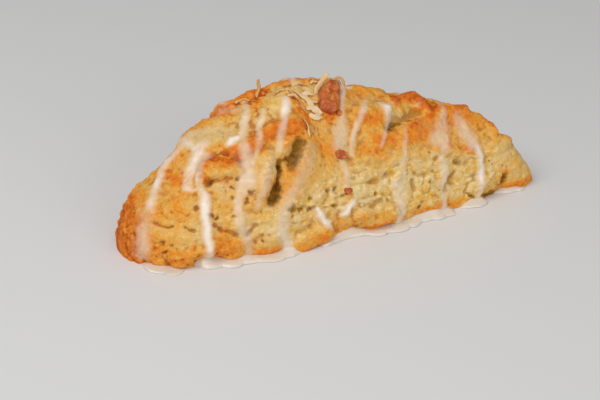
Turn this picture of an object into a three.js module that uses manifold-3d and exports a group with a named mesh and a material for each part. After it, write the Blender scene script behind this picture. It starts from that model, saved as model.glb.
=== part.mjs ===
// A baked scone: a thick, uneven wedge of crumb and crust with sugar glaze run down its sides and
// set round its foot, a few pale shreds and red bits on it, and one piece of dried fruit.
// Millimetres, +Z up. X runs along the long cut face, which looks towards -Y.
// The origin is on the surface that the scone rests on, under the middle of its box.

import * as THREE from 'three';
import { mergeVertices } from 'three/addons/utils/BufferGeometryUtils.js';
import Module from 'manifold-3d';

const wasm = await Module();
wasm.setup();

// ---- driving dimensions, mm ----

// Plan and height of the baked wedge: where it stands in front and behind, and how high it is.
const STATIONS = [
  { x: -65.5, front: -16.6, back: 4.6, height: 18.4 },
  { x: -53.5, front: -22.5, back: 11.6, height: 20 },
  { x: -37.5, front: -25.9, back: 18.6, height: 30.7 },
  { x: -19.5, front: -27.9, back: 25.6, height: 38 },
  { x: 0.5, front: -26.9, back: 27.6, height: 38.5 },
  { x: 18.5, front: -26.9, back: 18.6, height: 32.2 },
  { x: 36.5, front: -24.9, back: 6.6, height: 29 },
  { x: 52.5, front: -22.9, back: -5.4, height: 20 },
  { x: 65.5, front: -21.4, back: -16.4, height: 7 },
];
const BLUNT_END = 14; // length over which the blunt end rounds off
const SHARP_END = 8; // and the pointed one
const CORNER_POWER = 2.5; // superellipse power of a cross-section: 2 is an ellipse, more is boxier
const END_POWER = 2.6; // the same for the blunt end in plan
const CROWN_PLACE = 0.1; // the crown's place across a section, from -1 in front to 1 behind
const CROWN_FALL = 1.8; // power of the fall from the crown to the rims
const FRONT_RIM = { base: 10.5, share: 0.35, most: 0.92 }; // rim height from a section's height
const BACK_RIM = { base: 8, share: 0.33, most: 0.86 };

const RINGS = 60; // cross-sections along the wedge
const COLUMNS = 36; // points over a section, from the front foot to the back one
const COLUMNS_CLOSER = 0.11; // how much closer together they stand in front than behind
const BASE_COLUMNS = 3; // points across the flat base

// Unevenness of the dough: wavelength and rise of each scale of swelling.
const SWELLS = [
  { wave: 14, rise: 1, seed: 3 },
  { wave: 6.5, rise: 0.75, seed: 8 },
];

// Lumps, ridges and cracks. Each lies along a run of surface places [x, g], where g is the girth
// from the front foot up and over the section, and has a half width and a rise (a fall below 0).
// A firm one has steep flanks and a flat top.
const RELIEF = [
  { run: [[-39.6, 28], [-35.6, 27.8]], half: 3.5, rise: 2.3, firm: 4 }, // crust knob
  { run: [[-41.8, 24.3], [-40, 24.2]], half: 1.1, rise: -1.7 }, // pit under the knob
  { run: [[-32, 31.6], [-26, 34], [-20, 36.4], [-12, 36.5]], half: 2.2, rise: 1.5, firm: 3 }, // torn crust
  { run: [[-14, 30.6], [-15.4, 28], [-17.2, 26.2]], half: 1.7, rise: -2.2, firm: 3 }, // crack
  { run: [[-17.6, 28], [-19.4, 27.6], [-21.4, 26.6]], half: 1, rise: -1.3 },
  { run: [[-21.4, 26], [-22, 23.6], [-22.8, 20.8]], half: 1.1, rise: -2.5 },
  { run: [[-23.6, 19.6], [-24.8, 18], [-25.6, 16.8]], half: 1.6, rise: -2.9, firm: 3 }, // and a pocket below it
  { run: [[-24.6, 28], [-26.6, 24], [-28.4, 20]], half: 2.6, rise: 1.8 }, // the crack's left lip
  { run: [[-11.5, 30], [-15, 24.5], [-20, 17.5]], half: 2.6, rise: 0.6 }, // and its right lip
  { run: [[23, 28.5], [28, 30.5], [36, 31], [43, 30]], half: 2.2, rise: 1.7 }, // right lobe's crest
  { run: [[19, 32], [23, 33.5], [26.5, 32]], half: 2.2, rise: -2.2 }, // valley behind the crest
  { run: [[15.4, 29.8], [18, 30]], half: 1.4, rise: -2 }, // pit at the valley's end
  { run: [[21, 38.5], [25, 38.5], [29, 35]], half: 2.5, rise: 1.5, firm: 3 }, // lump on the far edge
  { run: [[28.4, 38], [31.6, 37.4]], half: 2.6, rise: 1.5 },
  { run: [[12, 26], [22, 25]], half: 3, rise: 0.8 }, // swelling above the crumb
  { run: [[39, 31], [45, 27]], half: 3.6, rise: 1.3, firm: 3 }, // first step down to the point
  { run: [[45.5, 29.5], [47.5, 30]], half: 1.6, rise: -1.4 },
  { run: [[49, 24.5], [52, 22]], half: 2.8, rise: 1.2, firm: 3 }, // second step
  { run: [[53.5, 21], [55, 21.5]], half: 1.7, rise: -1.6 },
  { run: [[3, 22], [10, 21.5], [22, 20.5], [30, 19.5], [38, 17.5], [44, 15]], half: 1.4, rise: 0.8 }, // lip
  { run: [[2.5, 5.5], [10, 4.6]], half: 3.1, rise: 2.1, firm: 4 }, // low lump by the foot
  { run: [[-53.5, 2.8], [-50, 3.2], [-46, 4.6]], half: 1.9, rise: 1.5, firm: 3 }, // ragged ridge at the blunt end
  { run: [[-61, 0.5], [-54, 0.5]], half: 2.8, rise: -1.4 }, // foot drawn in on both sides of it
  { run: [[-47.5, 1], [-43.5, 1]], half: 3.4, rise: -2.3, firm: 3 },
  { run: [[-42, 4], [-38, 4]], half: 3, rise: 1.1, firm: 4 }, // foot blocks
  { run: [[-30, 4], [-26.5, 4]], half: 2.6, rise: 1, firm: 4 },
  { run: [[-18, 2.5], [-11, 3]], half: 3.2, rise: 1.9, firm: 4 },
  { run: [[-57.6, 13], [-55.8, 12.4], [-54.6, 13.2]], half: 0.8, rise: -0.9 }, // splits between the layers
  { run: [[-50.6, 12.4], [-48.8, 11.6]], half: 0.8, rise: -0.9 },
  { run: [[-43, 11.6], [-41.4, 10.4]], half: 0.8, rise: -1 },
  { run: [[-39.8, 9.6], [-37.2, 8.6]], half: 0.8, rise: -1 },
  { run: [[-33.5, 8.2], [-30.6, 10.1]], half: 0.8, rise: -1.2 },
  { run: [[-21.5, 13.5], [-17, 13], [-13, 12.5]], half: 1, rise: -1 },
  { run: [[6, 15], [13, 16.5]], half: 1, rise: -0.9 },
  { run: [[21, 14.5], [27, 13]], half: 1, rise: -0.9 },
  { run: [[31, 7], [34.5, 12]], half: 1, rise: -1.1 },
  { run: [[38, 4], [41, 9]], half: 1, rise: -0.9 },
  { run: [[35, 15.3], [40, 14]], half: 0.9, rise: -0.9 },
  { run: [[14, 10], [36, 9]], half: 6, rise: -0.8 }, // hollow of the crumb face
  { run: [[55, 18.5], [57, 17]], half: 2.2, rise: 0.6 }, // third step
  { run: [[58.5, 15], [62.5, 8]], half: 2.4, rise: -0.8 }, // drawn in towards the point
  { run: [[45.5, 1], [51.5, 1]], half: 2.5, rise: -2 }, // undercut near the point
  { run: [[-14, 48], [-4, 50]], half: 5.5, rise: 0.8 }, // crown
  { run: [[-30, 50.2], [-26, 51.4], [-22, 52.3]], half: 1.8, rise: 1.8 }, // rim of the crown
  { run: [[-20, 52.3], [-11, 51.6], [-1, 51]], half: 1.5, rise: 1.1 },
  { run: [[-14, 59], [-4, 59]], half: 5, rise: -1.5 },
  { run: [[-60, 37], [-55.5, 39.5]], half: 4.5, rise: -1.7 }, // fall of the blunt end
  { run: [[-47, 45], [-40, 50]], half: 4.5, rise: -1.6 },
  { run: [[-33, 53], [-28, 55]], half: 3.4, rise: -1.6 },
  { run: [[-40, 45.5], [-37, 49]], half: 3, rise: 1.5 }, // left shoulder
  { run: [[24, 43], [32, 41]], half: 3.2, rise: -1.6 },
  { run: [[9, 48], [11.5, 56]], half: 2, rise: -1.7 }, // step down beside the crown
  { run: [[14, 46], [19, 44]], half: 3, rise: 1.3, firm: 3 },
  { run: [[-28, 66], [-16, 74], [-4, 70]], half: 3, rise: 1.6 }, // far side: crust folds and splits
  { run: [[2, 78], [12, 70], [22, 62]], half: 3, rise: 1.4 },
  { run: [[-24, 72], [-12, 80]], half: 1.6, rise: -1.8 },
  { run: [[6, 68], [14, 60]], half: 1.6, rise: -1.6 },
  { run: [[-8, 90], [4, 90]], half: 4, rise: 1.5, firm: 3 },
  { run: [[26, 58], [34, 52]], half: 3, rise: 1.4, firm: 3 },
  { run: [[-44, 60], [-38, 66]], half: 3.4, rise: 1.4, firm: 3 },
  { run: [[-32, 84], [-26, 86]], half: 3, rise: 1.2, firm: 3 },
];

// Glaze that ran down in strands: surface places from the top down, each with the half width there.
const STRAND_STEP = 4.8;
const STRAND_SIDES = 6;
const STRAND_LIFT = 0.1; // how far a strand's middle line lies above the crust
const STRAND_THICK = 0.8; // half thickness
const STRANDS = [
  [[-39.2, 44, 0.9], [-42.3, 40, 1.1], [-48, 36, 1.4], [-51, 32.8, 1.1], [-53.2, 27.8, 1.1], [-57, 19, 1.3],
    [-58.4, 16, 1.9], [-60.8, 8.6, 1.7], [-62, 3, 1.7]],
  [[-38.5, 37, 1.6], [-40.6, 35.8, 1.9], [-42.6, 32.3, 2], [-44.8, 29.7, 1.9], [-47.4, 23.8, 1.5]],
  [[-39.7, 33.2, 1.6], [-42.6, 29.9, 1.6], [-44.3, 24.5, 1], [-43.4, 20.6, 1.5], [-45.1, 13, 1.5], [-45.5, 4, 1.5],
    [-46, 1, 2]],
  [[-23.5, 49, 0.9], [-24.2, 46.6, 1.1], [-27.2, 41, 1.3], [-29.7, 35, 1.6], [-29.8, 28.9, 2.5], [-31.2, 23.7, 2.9],
    [-34.7, 19.2, 1.4], [-35.8, 12.4, 1.9], [-34.2, 3.1, 1.9], [-34.6, 1, 1.8]],
  [[-20.9, 43.4, 0.9], [-23.4, 39.2, 1], [-24.7, 36.4, 1.1], [-28.6, 27.7, 0.9]],
  [[-13.6, 44.2, 1.4], [-15.2, 41.3, 1.6], [-16.8, 38.3, 1.3], [-20.6, 29.8, 1.1]],
  [[-10.6, 29, 2.6], [-13.4, 24, 3], [-17.5, 20, 2.6], [-21.4, 15.5, 2.2], [-24, 8.6, 2.3], [-22.4, 1.3, 1.6]],
  [[7.3, 48, 1.2], [4.4, 42, 1.2], [1.9, 36.4, 1.2], [0.3, 32.1, 2.4], [-1.3, 27.8, 2.8], [-1.6, 23.2, 1.4],
    [-1.8, 16.9, 1.2], [-2.6, 13.6, 1]],
  [[11.8, 39.6, 0.9], [8.9, 35.5, 1.1], [4.2, 30.9, 1], [1.8, 24.3, 1.1]],
  [[18, 38.5, 0.9], [17, 35.7, 1.1], [14.6, 29, 1], [11, 24.8, 0.9]],
  [[19.8, 28.1, 0.9], [18.8, 24.5, 1.1], [16, 16.3, 1.4], [15, 12.2, 2.4], [14.2, 4.5, 1.9], [13.3, 1.2, 1.8]],
  [[36, 35, 0.9], [34.3, 29.7, 1.3], [32.8, 26.2, 3], [31.6, 23, 3.4], [31.8, 20.2, 1.8], [30.2, 17.4, 1.5],
    [30.9, 12.9, 1.7], [29.8, 4.1, 1.5], [29.9, 1, 1.5]],
  [[39, 28, 1.8], [40, 23.5, 3], [41.6, 19.6, 2.7], [43.9, 16.4, 1.4], [43.6, 7.7, 1.4], [42.8, 1, 1.6]],
  [[-32.6, 35.2, 1.2], [-31.4, 36, 1.5], [-30.6, 36.6, 1.2]], // and thick dabs of it
  [[-12, 11.4, 1], [-11, 8.8, 1.4], [-8.8, 5.2, 0.8]],
  [[-4.8, 8.2, 0.9], [-1.8, 9.8, 1.2], [-0.4, 11, 0.8]],
];
// On the far side the same drizzle goes on, one strand after the other along the scone.
const FAR_STRANDS = { first: -47, last: 41, count: 6, start: 0.56, end: 0.99, lean: 7, half: 1.4 };

// Glaze set in a ring round the foot, with gaps: places [x, reach, height] of each bank, where reach
// is how far it spreads from the crust.
const FOOT_GLAZE = [
  { side: 'front', rows: [[-62.6, 0.6, 0.6], [-61, 1.8, 1], [-58, 3.8, 0.8], [-55, 4.4, 0.8], [-53.4, 4, 0.7],
    [-52, 2, 0.6]] },
  { side: 'front', rows: [[-49.6, 1, 1.6], [-48, 1.4, 2.8], [-45.8, 2.8, 3], [-42, 3.5, 1.8], [-38, 3.2, 1],
    [-35, 2.5, 1.8], [-31.5, 3.2, 1], [-26.5, 3.8, 1.2], [-23.2, 2.9, 2.6], [-20.4, 2.2, 2.8], [-18.6, 1.4, 1]] },
  { side: 'front', rows: [[-12.6, 2.2, 0.8], [-10, 1.8, 1.4], [-5, 1, 1.8], [-2.6, 2, 3], [1, 2.3, 1.8],
    [5.5, 2.7, 1.2], [11.4, 3.6, 1.4], [16.8, 3.3, 1.8], [20, 1.8, 2.2], [23.5, 1.6, 2.2], [27.5, 3, 1.8],
    [31, 3.8, 1.4], [34, 2.4, 0.9]] },
  { side: 'front', rows: [[35.6, 1.3, 0.8], [38, 2, 1.2], [41, 2.5, 2], [43.4, 2.7, 2.2], [45.4, 1.6, 0.9]] },
  { side: 'front', rows: [[50.2, 1.2, 1], [53, 1.5, 1.5], [56.5, 1.1, 1.4], [59.5, 1.5, 0.9], [61.4, 1, 0.6]] },
  { side: 'back', rows: [[-52, 2, 2], [-44, 3.2, 2.6], [-36, 2, 1.6], [-28, 3.6, 3.2], [-20, 2.2, 1.6], [-14, 1.6, 1.2]] },
  { side: 'back', rows: [[-6, 1.8, 1.4], [0, 2.8, 2.8], [8, 2.2, 1.6], [16, 3.8, 2.6], [24, 2.2, 1.4], [30, 3, 2.6],
    [36, 1.6, 1.2]] },
];
const FOOT_LIP = 0.95; // thickness towards its edge
const FOOT_STEP = 3.8;
const FOOT_INSIDE = 2.2; // how far it reaches in under the crust's edge

// Pale shreds on the crown: surface place, heading in degrees from +X, length, half width, sideways
// bow, and how high the middle and the far end stand off.
const SHRED_HALF_THICK = 0.3;
const SHRED_ROOT = 0.1; // the near end's height over the crust
const SHREDS = [
  { at: [-3.1, 45.1], heading: 47, length: 6.2, half: 0.85, bow: 0.3, arch: 0.4, tip: 3.6 },
  { at: [-20.1, 49.7], heading: 53, length: 5, half: 0.5, bow: 0, arch: 0.2, tip: 2.7 },
  { at: [5.4, 50.8], heading: -22, length: 4.4, half: 0.6, bow: 1, arch: 1.2, tip: 0.2 },
  { at: [-11.6, 47.4], heading: -72, length: 8.5, half: 0.4, bow: 0.5, arch: 0.3, tip: 0.2 },
  { at: [-10, 47.4], heading: -60, length: 7.6, half: 0.85, bow: 0.5, arch: 0.5, tip: 0.3 },
  { at: [-7.8, 45.2], heading: -4, length: 3.2, half: 0.8, bow: 0.4, arch: 0.5, tip: 0.4 },
  { at: [-6.6, 43.2], heading: -18, length: 3, half: 0.6, bow: -0.3, arch: 0.4, tip: 0.2 },
  { at: [-8.2, 40.9], heading: -36, length: 4.8, half: 0.9, bow: 0.6, arch: 0.6, tip: 0.3 },
  { at: [-8, 38.7], heading: -20, length: 3.8, half: 0.95, bow: -0.5, arch: 0.6, tip: 0.3 },
  { at: [-12.6, 45.4], heading: -30, length: 3.6, half: 0.55, bow: 1.1, arch: 0.5, tip: 0.2 },
  { at: [-9.4, 49.2], heading: -8, length: 4.6, half: 0.7, bow: 0.5, arch: 0.5, tip: 0.2 },
  { at: [-3.2, 49.4], heading: -16, length: 3, half: 0.5, bow: 0.3, arch: 0.4, tip: 0.3 },
  { at: [-10.4, 37.6], heading: -92, length: 5.4, half: 0.34, bow: 0.4, arch: 0.3, tip: 0.1 },
  { at: [-8.9, 37], heading: -98, length: 4.6, half: 0.26, bow: -0.3, arch: 0.2, tip: 0.1 },
  { at: [-7.4, 36.4], heading: -92, length: 4, half: 0.3, bow: 0.3, arch: 0.2, tip: 0.1 },
  { at: [-16, 47], heading: 12, length: 3.6, half: 0.5, bow: 0.5, arch: 0.4, tip: 0.2 },
  { at: [-26, 49.6], heading: -8, length: 3.6, half: 0.4, bow: 0.4, arch: 0.3, tip: 0.2 },
  { at: [-3.4, 51], heading: 10, length: 3.6, half: 0.5, bow: 0.3, arch: 0.3, tip: 0.4 },
];

// Small red bits in the crumb: surface place and radius.
const RED_BITS = [
  { at: [-1.8, 24.9], radius: 1.5 },
  { at: [-2.1, 14.2], radius: 1.15 },
  { at: [1.8, 36.8], radius: 1.1 },
];

// The piece of dried fruit: surface place, half sizes across, up the girth and off the crust, how
// far it narrows upwards, and how it is turned about the crust's normal.
const FRUIT = {
  at: [0.1, 42.5], halfAcross: 2.7, halfUp: 5.5, halfThick: 2.4, taper: 0.2, lift: 0.6, power: 4, turn: -36,
};
const FRUIT_GAP = 0.35; // clearance of the pocket that it sits in
const FRUIT_DENTS = { wave: 3.4, rise: 0.9, creased: 0.6, seed: 21 };

// ---- numbers and noise ----

const clamp = (v, low, high) => Math.min(Math.max(v, low), high);
const mix = (a, b, t) => a + (b - a) * t;

/** Smooth rise from 0 at a to 1 at b. */
function ease(a, b, v) {
  const t = clamp((v - a) / (b - a), 0, 1);
  return t * t * (3 - 2 * t);
}

/** A repeatable number from 0 to 1 for a lattice point. */
function lattice(i, j, k, seed) {
  const s = Math.sin(i * 127.1 + j * 311.7 + k * 74.7 + seed * 19.19) * 43758.5453;
  return s - Math.floor(s);
}

/** Smooth noise from -1 to 1: lattice numbers blended over the unit cube round a point. */
function noise(x, y, z, seed) {
  const [i, j, k] = [Math.floor(x), Math.floor(y), Math.floor(z)];
  const [a, b, c] = [ease(0, 1, x - i), ease(0, 1, y - j), ease(0, 1, z - k)];
  const edge = (dj, dk) => mix(lattice(i, j + dj, k + dk, seed), lattice(i + 1, j + dj, k + dk, seed), a);
  return 2 * mix(mix(edge(0, 0), edge(1, 0), b), mix(edge(0, 1), edge(1, 1), b), c) - 1;
}

/** A smooth curve through values given at the stations (cubic, with slopes from the neighbours). */
function alongStations(key, x) {
  const s = STATIONS;
  const last = s.length - 1;
  let i = 0;
  while (i < last - 1 && x > s[i + 1].x) i += 1;
  const slope = (n) => {
    if (n === 0) return (s[1][key] - s[0][key]) / (s[1].x - s[0].x);
    if (n === last) return (s[n][key] - s[n - 1][key]) / (s[n].x - s[n - 1].x);
    const before = s[n].x - s[n - 1].x;
    const after = s[n + 1].x - s[n].x;
    const up = (s[n][key] - s[n - 1][key]) / before;
    const on = (s[n + 1][key] - s[n][key]) / after;
    return (up * after + on * before) / (before + after);
  };
  const h = s[i + 1].x - s[i].x;
  const t = (x - s[i].x) / h;
  return (2 * t ** 3 - 3 * t ** 2 + 1) * s[i][key] + (t ** 3 - 2 * t ** 2 + t) * h * slope(i)
    + (3 * t ** 2 - 2 * t ** 3) * s[i + 1][key] + (t ** 3 - t ** 2) * h * slope(i + 1);
}

// ---- the wedge's surface ----

const LEFT = STATIONS[0].x;
const RIGHT = STATIONS[STATIONS.length - 1].x;
const SECTION_POINTS = 240;
const sections = new Map();

/** The smooth cross-section at x: points from the front foot over the crown to the back foot. */
function section(x) {
  if (sections.has(x)) return sections.get(x);
  const front = alongStations('front', x);
  const back = alongStations('back', x);
  const height = alongStations('height', x);
  const rimOf = (rim) => Math.min(rim.base + rim.share * height, rim.most * height);
  const blunt = 1 - clamp((x - LEFT) / BLUNT_END, 0, 1);
  const sharp = 1 - clamp((RIGHT - x) / SHARP_END, 0, 1);
  const rise = Math.sqrt(1 - blunt ** 2) * Math.sqrt(1 - sharp ** 2);
  const spread = (1 - blunt ** END_POWER) ** (1 / END_POWER) * Math.sqrt(1 - sharp ** 2);
  const y = [];
  const z = [];
  const g = [0];
  for (let n = 0; n <= SECTION_POINTS; n += 1) {
    const turn = 2 * n / SECTION_POINTS - 1;
    const across = Math.sign(turn) * Math.sin(Math.PI / 2 * Math.abs(turn)) ** (2 / CORNER_POWER);
    const up = Math.max(Math.cos(Math.PI / 2 * turn), 0) ** (2 / CORNER_POWER);
    const near = across < CROWN_PLACE;
    const side = near ? (CROWN_PLACE - across) / (1 + CROWN_PLACE) : (across - CROWN_PLACE) / (1 - CROWN_PLACE);
    const rim = rimOf(near ? FRONT_RIM : BACK_RIM);
    y.push((front + back) / 2 + (back - front) / 2 * spread * across);
    z.push((height - (height - rim) * side ** CROWN_FALL) * up * rise);
    if (n > 0) g.push(g[n - 1] + Math.hypot(y[n] - y[n - 1], z[n] - z[n - 1]));
  }
  const made = { y, z, g, girth: g[SECTION_POINTS] };
  sections.set(x, made);
  return made;
}

/** The point of the smooth wedge at x and at a share of the section's girth. */
function smoothPoint(x, share) {
  const s = section(x);
  const g = clamp(share, 0, 1) * s.girth;
  let low = 0;
  let high = SECTION_POINTS;
  while (high - low > 1) {
    const middle = (low + high) >> 1;
    if (s.g[middle] > g) high = middle;
    else low = middle;
  }
  const t = (g - s.g[low]) / Math.max(s.g[high] - s.g[low], 1e-9);
  return new THREE.Vector3(x, mix(s.y[low], s.y[high], t), mix(s.z[low], s.z[high], t));
}

/** The outward normal of the smooth wedge, across two short chords of the surface. */
function smoothNormal(x, share) {
  const dx = 0.4;
  const ds = 0.006;
  const [x0, x1] = [Math.max(x - dx, LEFT + 0.05), Math.min(x + dx, RIGHT - 0.05)];
  const along = smoothPoint(x1, share).sub(smoothPoint(x0, share));
  const around = smoothPoint(x, Math.min(share + ds, 1)).sub(smoothPoint(x, Math.max(share - ds, 0)));
  return along.cross(around).normalize();
}

/** Distance from a surface place to a run of places. */
function distanceToRun(x, g, run) {
  let nearest = Infinity;
  for (let n = 0; n < run.length; n += 1) {
    const [ax, ag] = run[n];
    const [bx, bg] = run[Math.min(n + 1, run.length - 1)];
    const length = Math.max((bx - ax) ** 2 + (bg - ag) ** 2, 1e-9);
    const t = clamp(((x - ax) * (bx - ax) + (g - ag) * (bg - ag)) / length, 0, 1);
    nearest = Math.min(nearest, Math.hypot(x - ax - t * (bx - ax), g - ag - t * (bg - ag)));
  }
  return nearest;
}

/** How far the crust stands off the smooth wedge: swells of the dough and the named relief. */
function relief(point, g) {
  let off = 0;
  for (const s of SWELLS) off += s.rise * noise(point.x / s.wave, point.y / s.wave, point.z / s.wave, s.seed);
  for (const r of RELIEF) {
    const d = distanceToRun(point.x, g, r.run) / r.half;
    if (d < 3) off += r.rise * Math.exp(-(d ** (r.firm ?? 2)));
  }
  const fromEnds = Math.min(point.x - LEFT, RIGHT - point.x);
  return off * ease(0, 5, fromEnds);
}

/** The point of the crust at x and a share of the girth, with its normal; the foot stays level. */
function crust(x, share) {
  const point = smoothPoint(x, share);
  const normal = smoothNormal(x, share);
  const off = relief(point, share * section(x).girth);
  point.addScaledVector(normal, off);
  point.z = share <= 0 || share >= 1 ? 0 : Math.max(point.z, 0.05);
  return { point, normal };
}

/** The crust at a surface place [x, g]. */
const crustAt = (x, g) => crust(clamp(x, LEFT + 0.3, RIGHT - 0.3), g / section(clamp(x, LEFT + 0.3, RIGHT - 0.3)).girth);

// ---- making solids ----

/** A closed solid from rings of points that all turn the same way, and a point at each end. */
function loft(rings, startPoint, endPoint) {
  const sides = rings[0].length;
  const points = [startPoint, ...rings.flat(), endPoint];
  const at = (ring, side) => 1 + ring * sides + (side % sides);
  const faces = [];
  for (let s = 0; s < sides; s += 1) {
    faces.push(0, at(0, s + 1), at(0, s));
    for (let r = 0; r + 1 < rings.length; r += 1) {
      faces.push(at(r, s), at(r, s + 1), at(r + 1, s + 1));
      faces.push(at(r, s), at(r + 1, s + 1), at(r + 1, s));
    }
    faces.push(at(rings.length - 1, s), at(rings.length - 1, s + 1), points.length - 1);
  }
  const geometry = new THREE.BufferGeometry().setFromPoints(points);
  geometry.setIndex(faces);
  return solidOf(geometry);
}

/** The solid of a closed geometry, its faces turned outwards. */
function solidOf(geometry) {
  geometry.deleteAttribute('normal');
  geometry.deleteAttribute('uv');
  const merged = mergeVertices(geometry, 1e-4);
  const vertProperties = new Float32Array(merged.attributes.position.array);
  const triVerts = new Uint32Array(merged.index.array);
  let solid = new wasm.Manifold(new wasm.Mesh({ numProp: 3, vertProperties, triVerts }));
  if (solid.volume() < 0) {
    triVerts.reverse();
    solid = new wasm.Manifold(new wasm.Mesh({ numProp: 3, vertProperties, triVerts }));
  }
  return solid;
}

/** The geometry of a solid, with flat facets. */
function geometryOf(solid) {
  const mesh = solid.getMesh();
  const geometry = new THREE.BufferGeometry();
  geometry.setAttribute('position', new THREE.BufferAttribute(mesh.vertProperties, 3));
  geometry.setIndex(new THREE.BufferAttribute(mesh.triVerts, 1));
  geometry.computeVertexNormals();
  return geometry;
}

/** Places along X for the rings: closer together where an end rounds off. */
function ringPlaces() {
  const blunt = Math.round(RINGS * 0.14);
  const sharp = Math.round(RINGS * 0.09);
  const places = [];
  for (let n = 1; n <= blunt; n += 1) {
    places.push(LEFT + BLUNT_END * (1 - Math.cos(Math.PI / 2 * n / blunt)));
  }
  const middle = RINGS - blunt - sharp;
  const [from, to] = [LEFT + BLUNT_END, RIGHT - SHARP_END];
  for (let n = 1; n < middle; n += 1) places.push(mix(from, to, n / middle));
  for (let n = sharp; n >= 1; n -= 1) {
    places.push(RIGHT - SHARP_END * (1 - Math.cos(Math.PI / 2 * n / sharp)));
  }
  return places;
}

/** The baked wedge: one ring over the crust and back across the flat base at each place. */
function wedge() {
  const rings = ringPlaces().map((x) => {
    const ring = [];
    for (let n = 0; n <= COLUMNS; n += 1) {
      const even = n / COLUMNS;
      ring.push(crust(x, n === COLUMNS ? 1 : even - COLUMNS_CLOSER * Math.sin(Math.PI * even)).point);
    }
    const [front, back] = [ring[0], ring[COLUMNS]];
    for (let n = 1; n <= BASE_COLUMNS; n += 1) {
      ring.push(back.clone().lerp(front, n / (BASE_COLUMNS + 1)));
    }
    return ring;
  });
  return loft(rings, smoothPoint(LEFT, 0.5), smoothPoint(RIGHT, 0.5));
}

/** A smooth path through a run of surface places, sampled every step; the half width goes along. */
function pathOver(run, step) {
  const curve = new THREE.CatmullRomCurve3(run.map(([x, g, half]) => new THREE.Vector3(x, g, half)));
  return curve.getSpacedPoints(Math.max(Math.ceil(curve.getLength() / step), 3));
}

/** A flattened bead of glaze along a run of surface places, thin at its top and rounded at its end. */
function strand(run, seed) {
  const path = pathOver(run, STRAND_STEP);
  const last = path.length - 1;
  const middles = path.map((p) => {
    const { point, normal } = crustAt(p.x, Math.max(p.y, 0.6));
    return { point: point.addScaledVector(normal, STRAND_LIFT), normal };
  });
  const rings = [];
  for (let n = 1; n < last; n += 1) {
    const { point, normal } = middles[n];
    const ahead = middles[n + 1].point.clone().sub(middles[n - 1].point).normalize();
    const side = new THREE.Vector3().crossVectors(ahead, normal).normalize();
    const half = path[n].z * (1 + 0.12 * noise(n * 0.9, seed * 3.7, 0, 31));
    const thick = STRAND_THICK * Math.min(0.7 + 0.6 * n / last, 1);
    const ring = [];
    for (let s = 0; s < STRAND_SIDES; s += 1) {
      const turn = 2 * Math.PI * s / STRAND_SIDES;
      const spot = point.clone().addScaledVector(side, half * Math.cos(turn));
      spot.addScaledVector(normal, thick * Math.sin(turn));
      spot.z = Math.max(spot.z, 0);
      ring.push(spot);
    }
    rings.push(ring);
  }
  return loft(rings, middles[0].point, middles[last].point);
}

/** The strands of the far side: from just past the crown down to the foot, leaning as in front. */
function farStrands() {
  const f = FAR_STRANDS;
  const made = [];
  for (let n = 0; n < f.count; n += 1) {
    const x = mix(f.first, f.last, n / (f.count - 1)) + 3 * noise(n * 1.7, 0, 0, 41);
    const run = [0, 0.34, 0.67, 1].map((t) => {
      const there = x + f.lean * (0.5 - t) + 1.6 * noise(n * 2.3, t * 3, 0, 43);
      const share = mix(f.start, f.end, t) - 0.12 * (1 - t) * Math.abs(noise(n * 3.1, 0, 0, 47));
      const half = f.half * (1 + 0.3 * noise(n * 4.3 + t * 5, 0, 0, 49));
      return [there, share * section(clamp(there, LEFT + 1, RIGHT - 1)).girth, half];
    });
    made.push(strand(run, 50 + n));
  }
  return made;
}

/** The value of one column of a table at x, on straight lines between its rows. */
function between(rows, column, x) {
  let n = 0;
  while (n < rows.length - 2 && x > rows[n + 1][0]) n += 1;
  const t = clamp((x - rows[n][0]) / (rows[n + 1][0] - rows[n][0]), 0, 1);
  return mix(rows[n][column], rows[n + 1][column], t);
}

/** A low bank of set glaze along the foot, falling in a hollow curve to a lip, flat underneath. */
function footGlaze({ side, rows }, seed) {
  const from = rows[0][0];
  const to = rows[rows.length - 1][0];
  const count = Math.max(Math.ceil((to - from) / FOOT_STEP), 3);
  const share = side === 'front' ? 0 : 1;
  const spots = [];
  for (let n = 0; n <= count; n += 1) {
    spots.push(crust(clamp(mix(from, to, n / count), LEFT + 0.4, RIGHT - 0.4), share).point);
  }
  const rings = [];
  for (let n = 1; n < count; n += 1) {
    const along = spots[n + 1].clone().sub(spots[n - 1]).normalize();
    const out = new THREE.Vector3(along.y, -along.x, 0).multiplyScalar(side === 'front' ? 1 : -1);
    const reach = between(rows, 1, spots[n].x) * (1 + 0.1 * noise(n * 0.8, seed * 5.1, 0, 37));
    const high = between(rows, 2, spots[n].x);
    const lip = Math.min(FOOT_LIP, 0.9 * high);
    const profile = [[-FOOT_INSIDE, 0], [reach, 0], [reach * 0.96, lip * 0.55], [reach * 0.5, mix(lip, high, 0.25)],
      [-0.2, high], [-FOOT_INSIDE, high * 0.9]];
    rings.push(profile.map(([r, z]) => spots[n].clone().addScaledVector(out, r).setZ(z)));
  }
  const inward = (spot, next) => {
    const along = next.clone().sub(spot).normalize();
    return spot.clone().addScaledVector(along, 0.2).setZ(0.2);
  };
  return loft(rings, inward(spots[0], spots[1]), inward(spots[count], spots[count - 1]));
}

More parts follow.
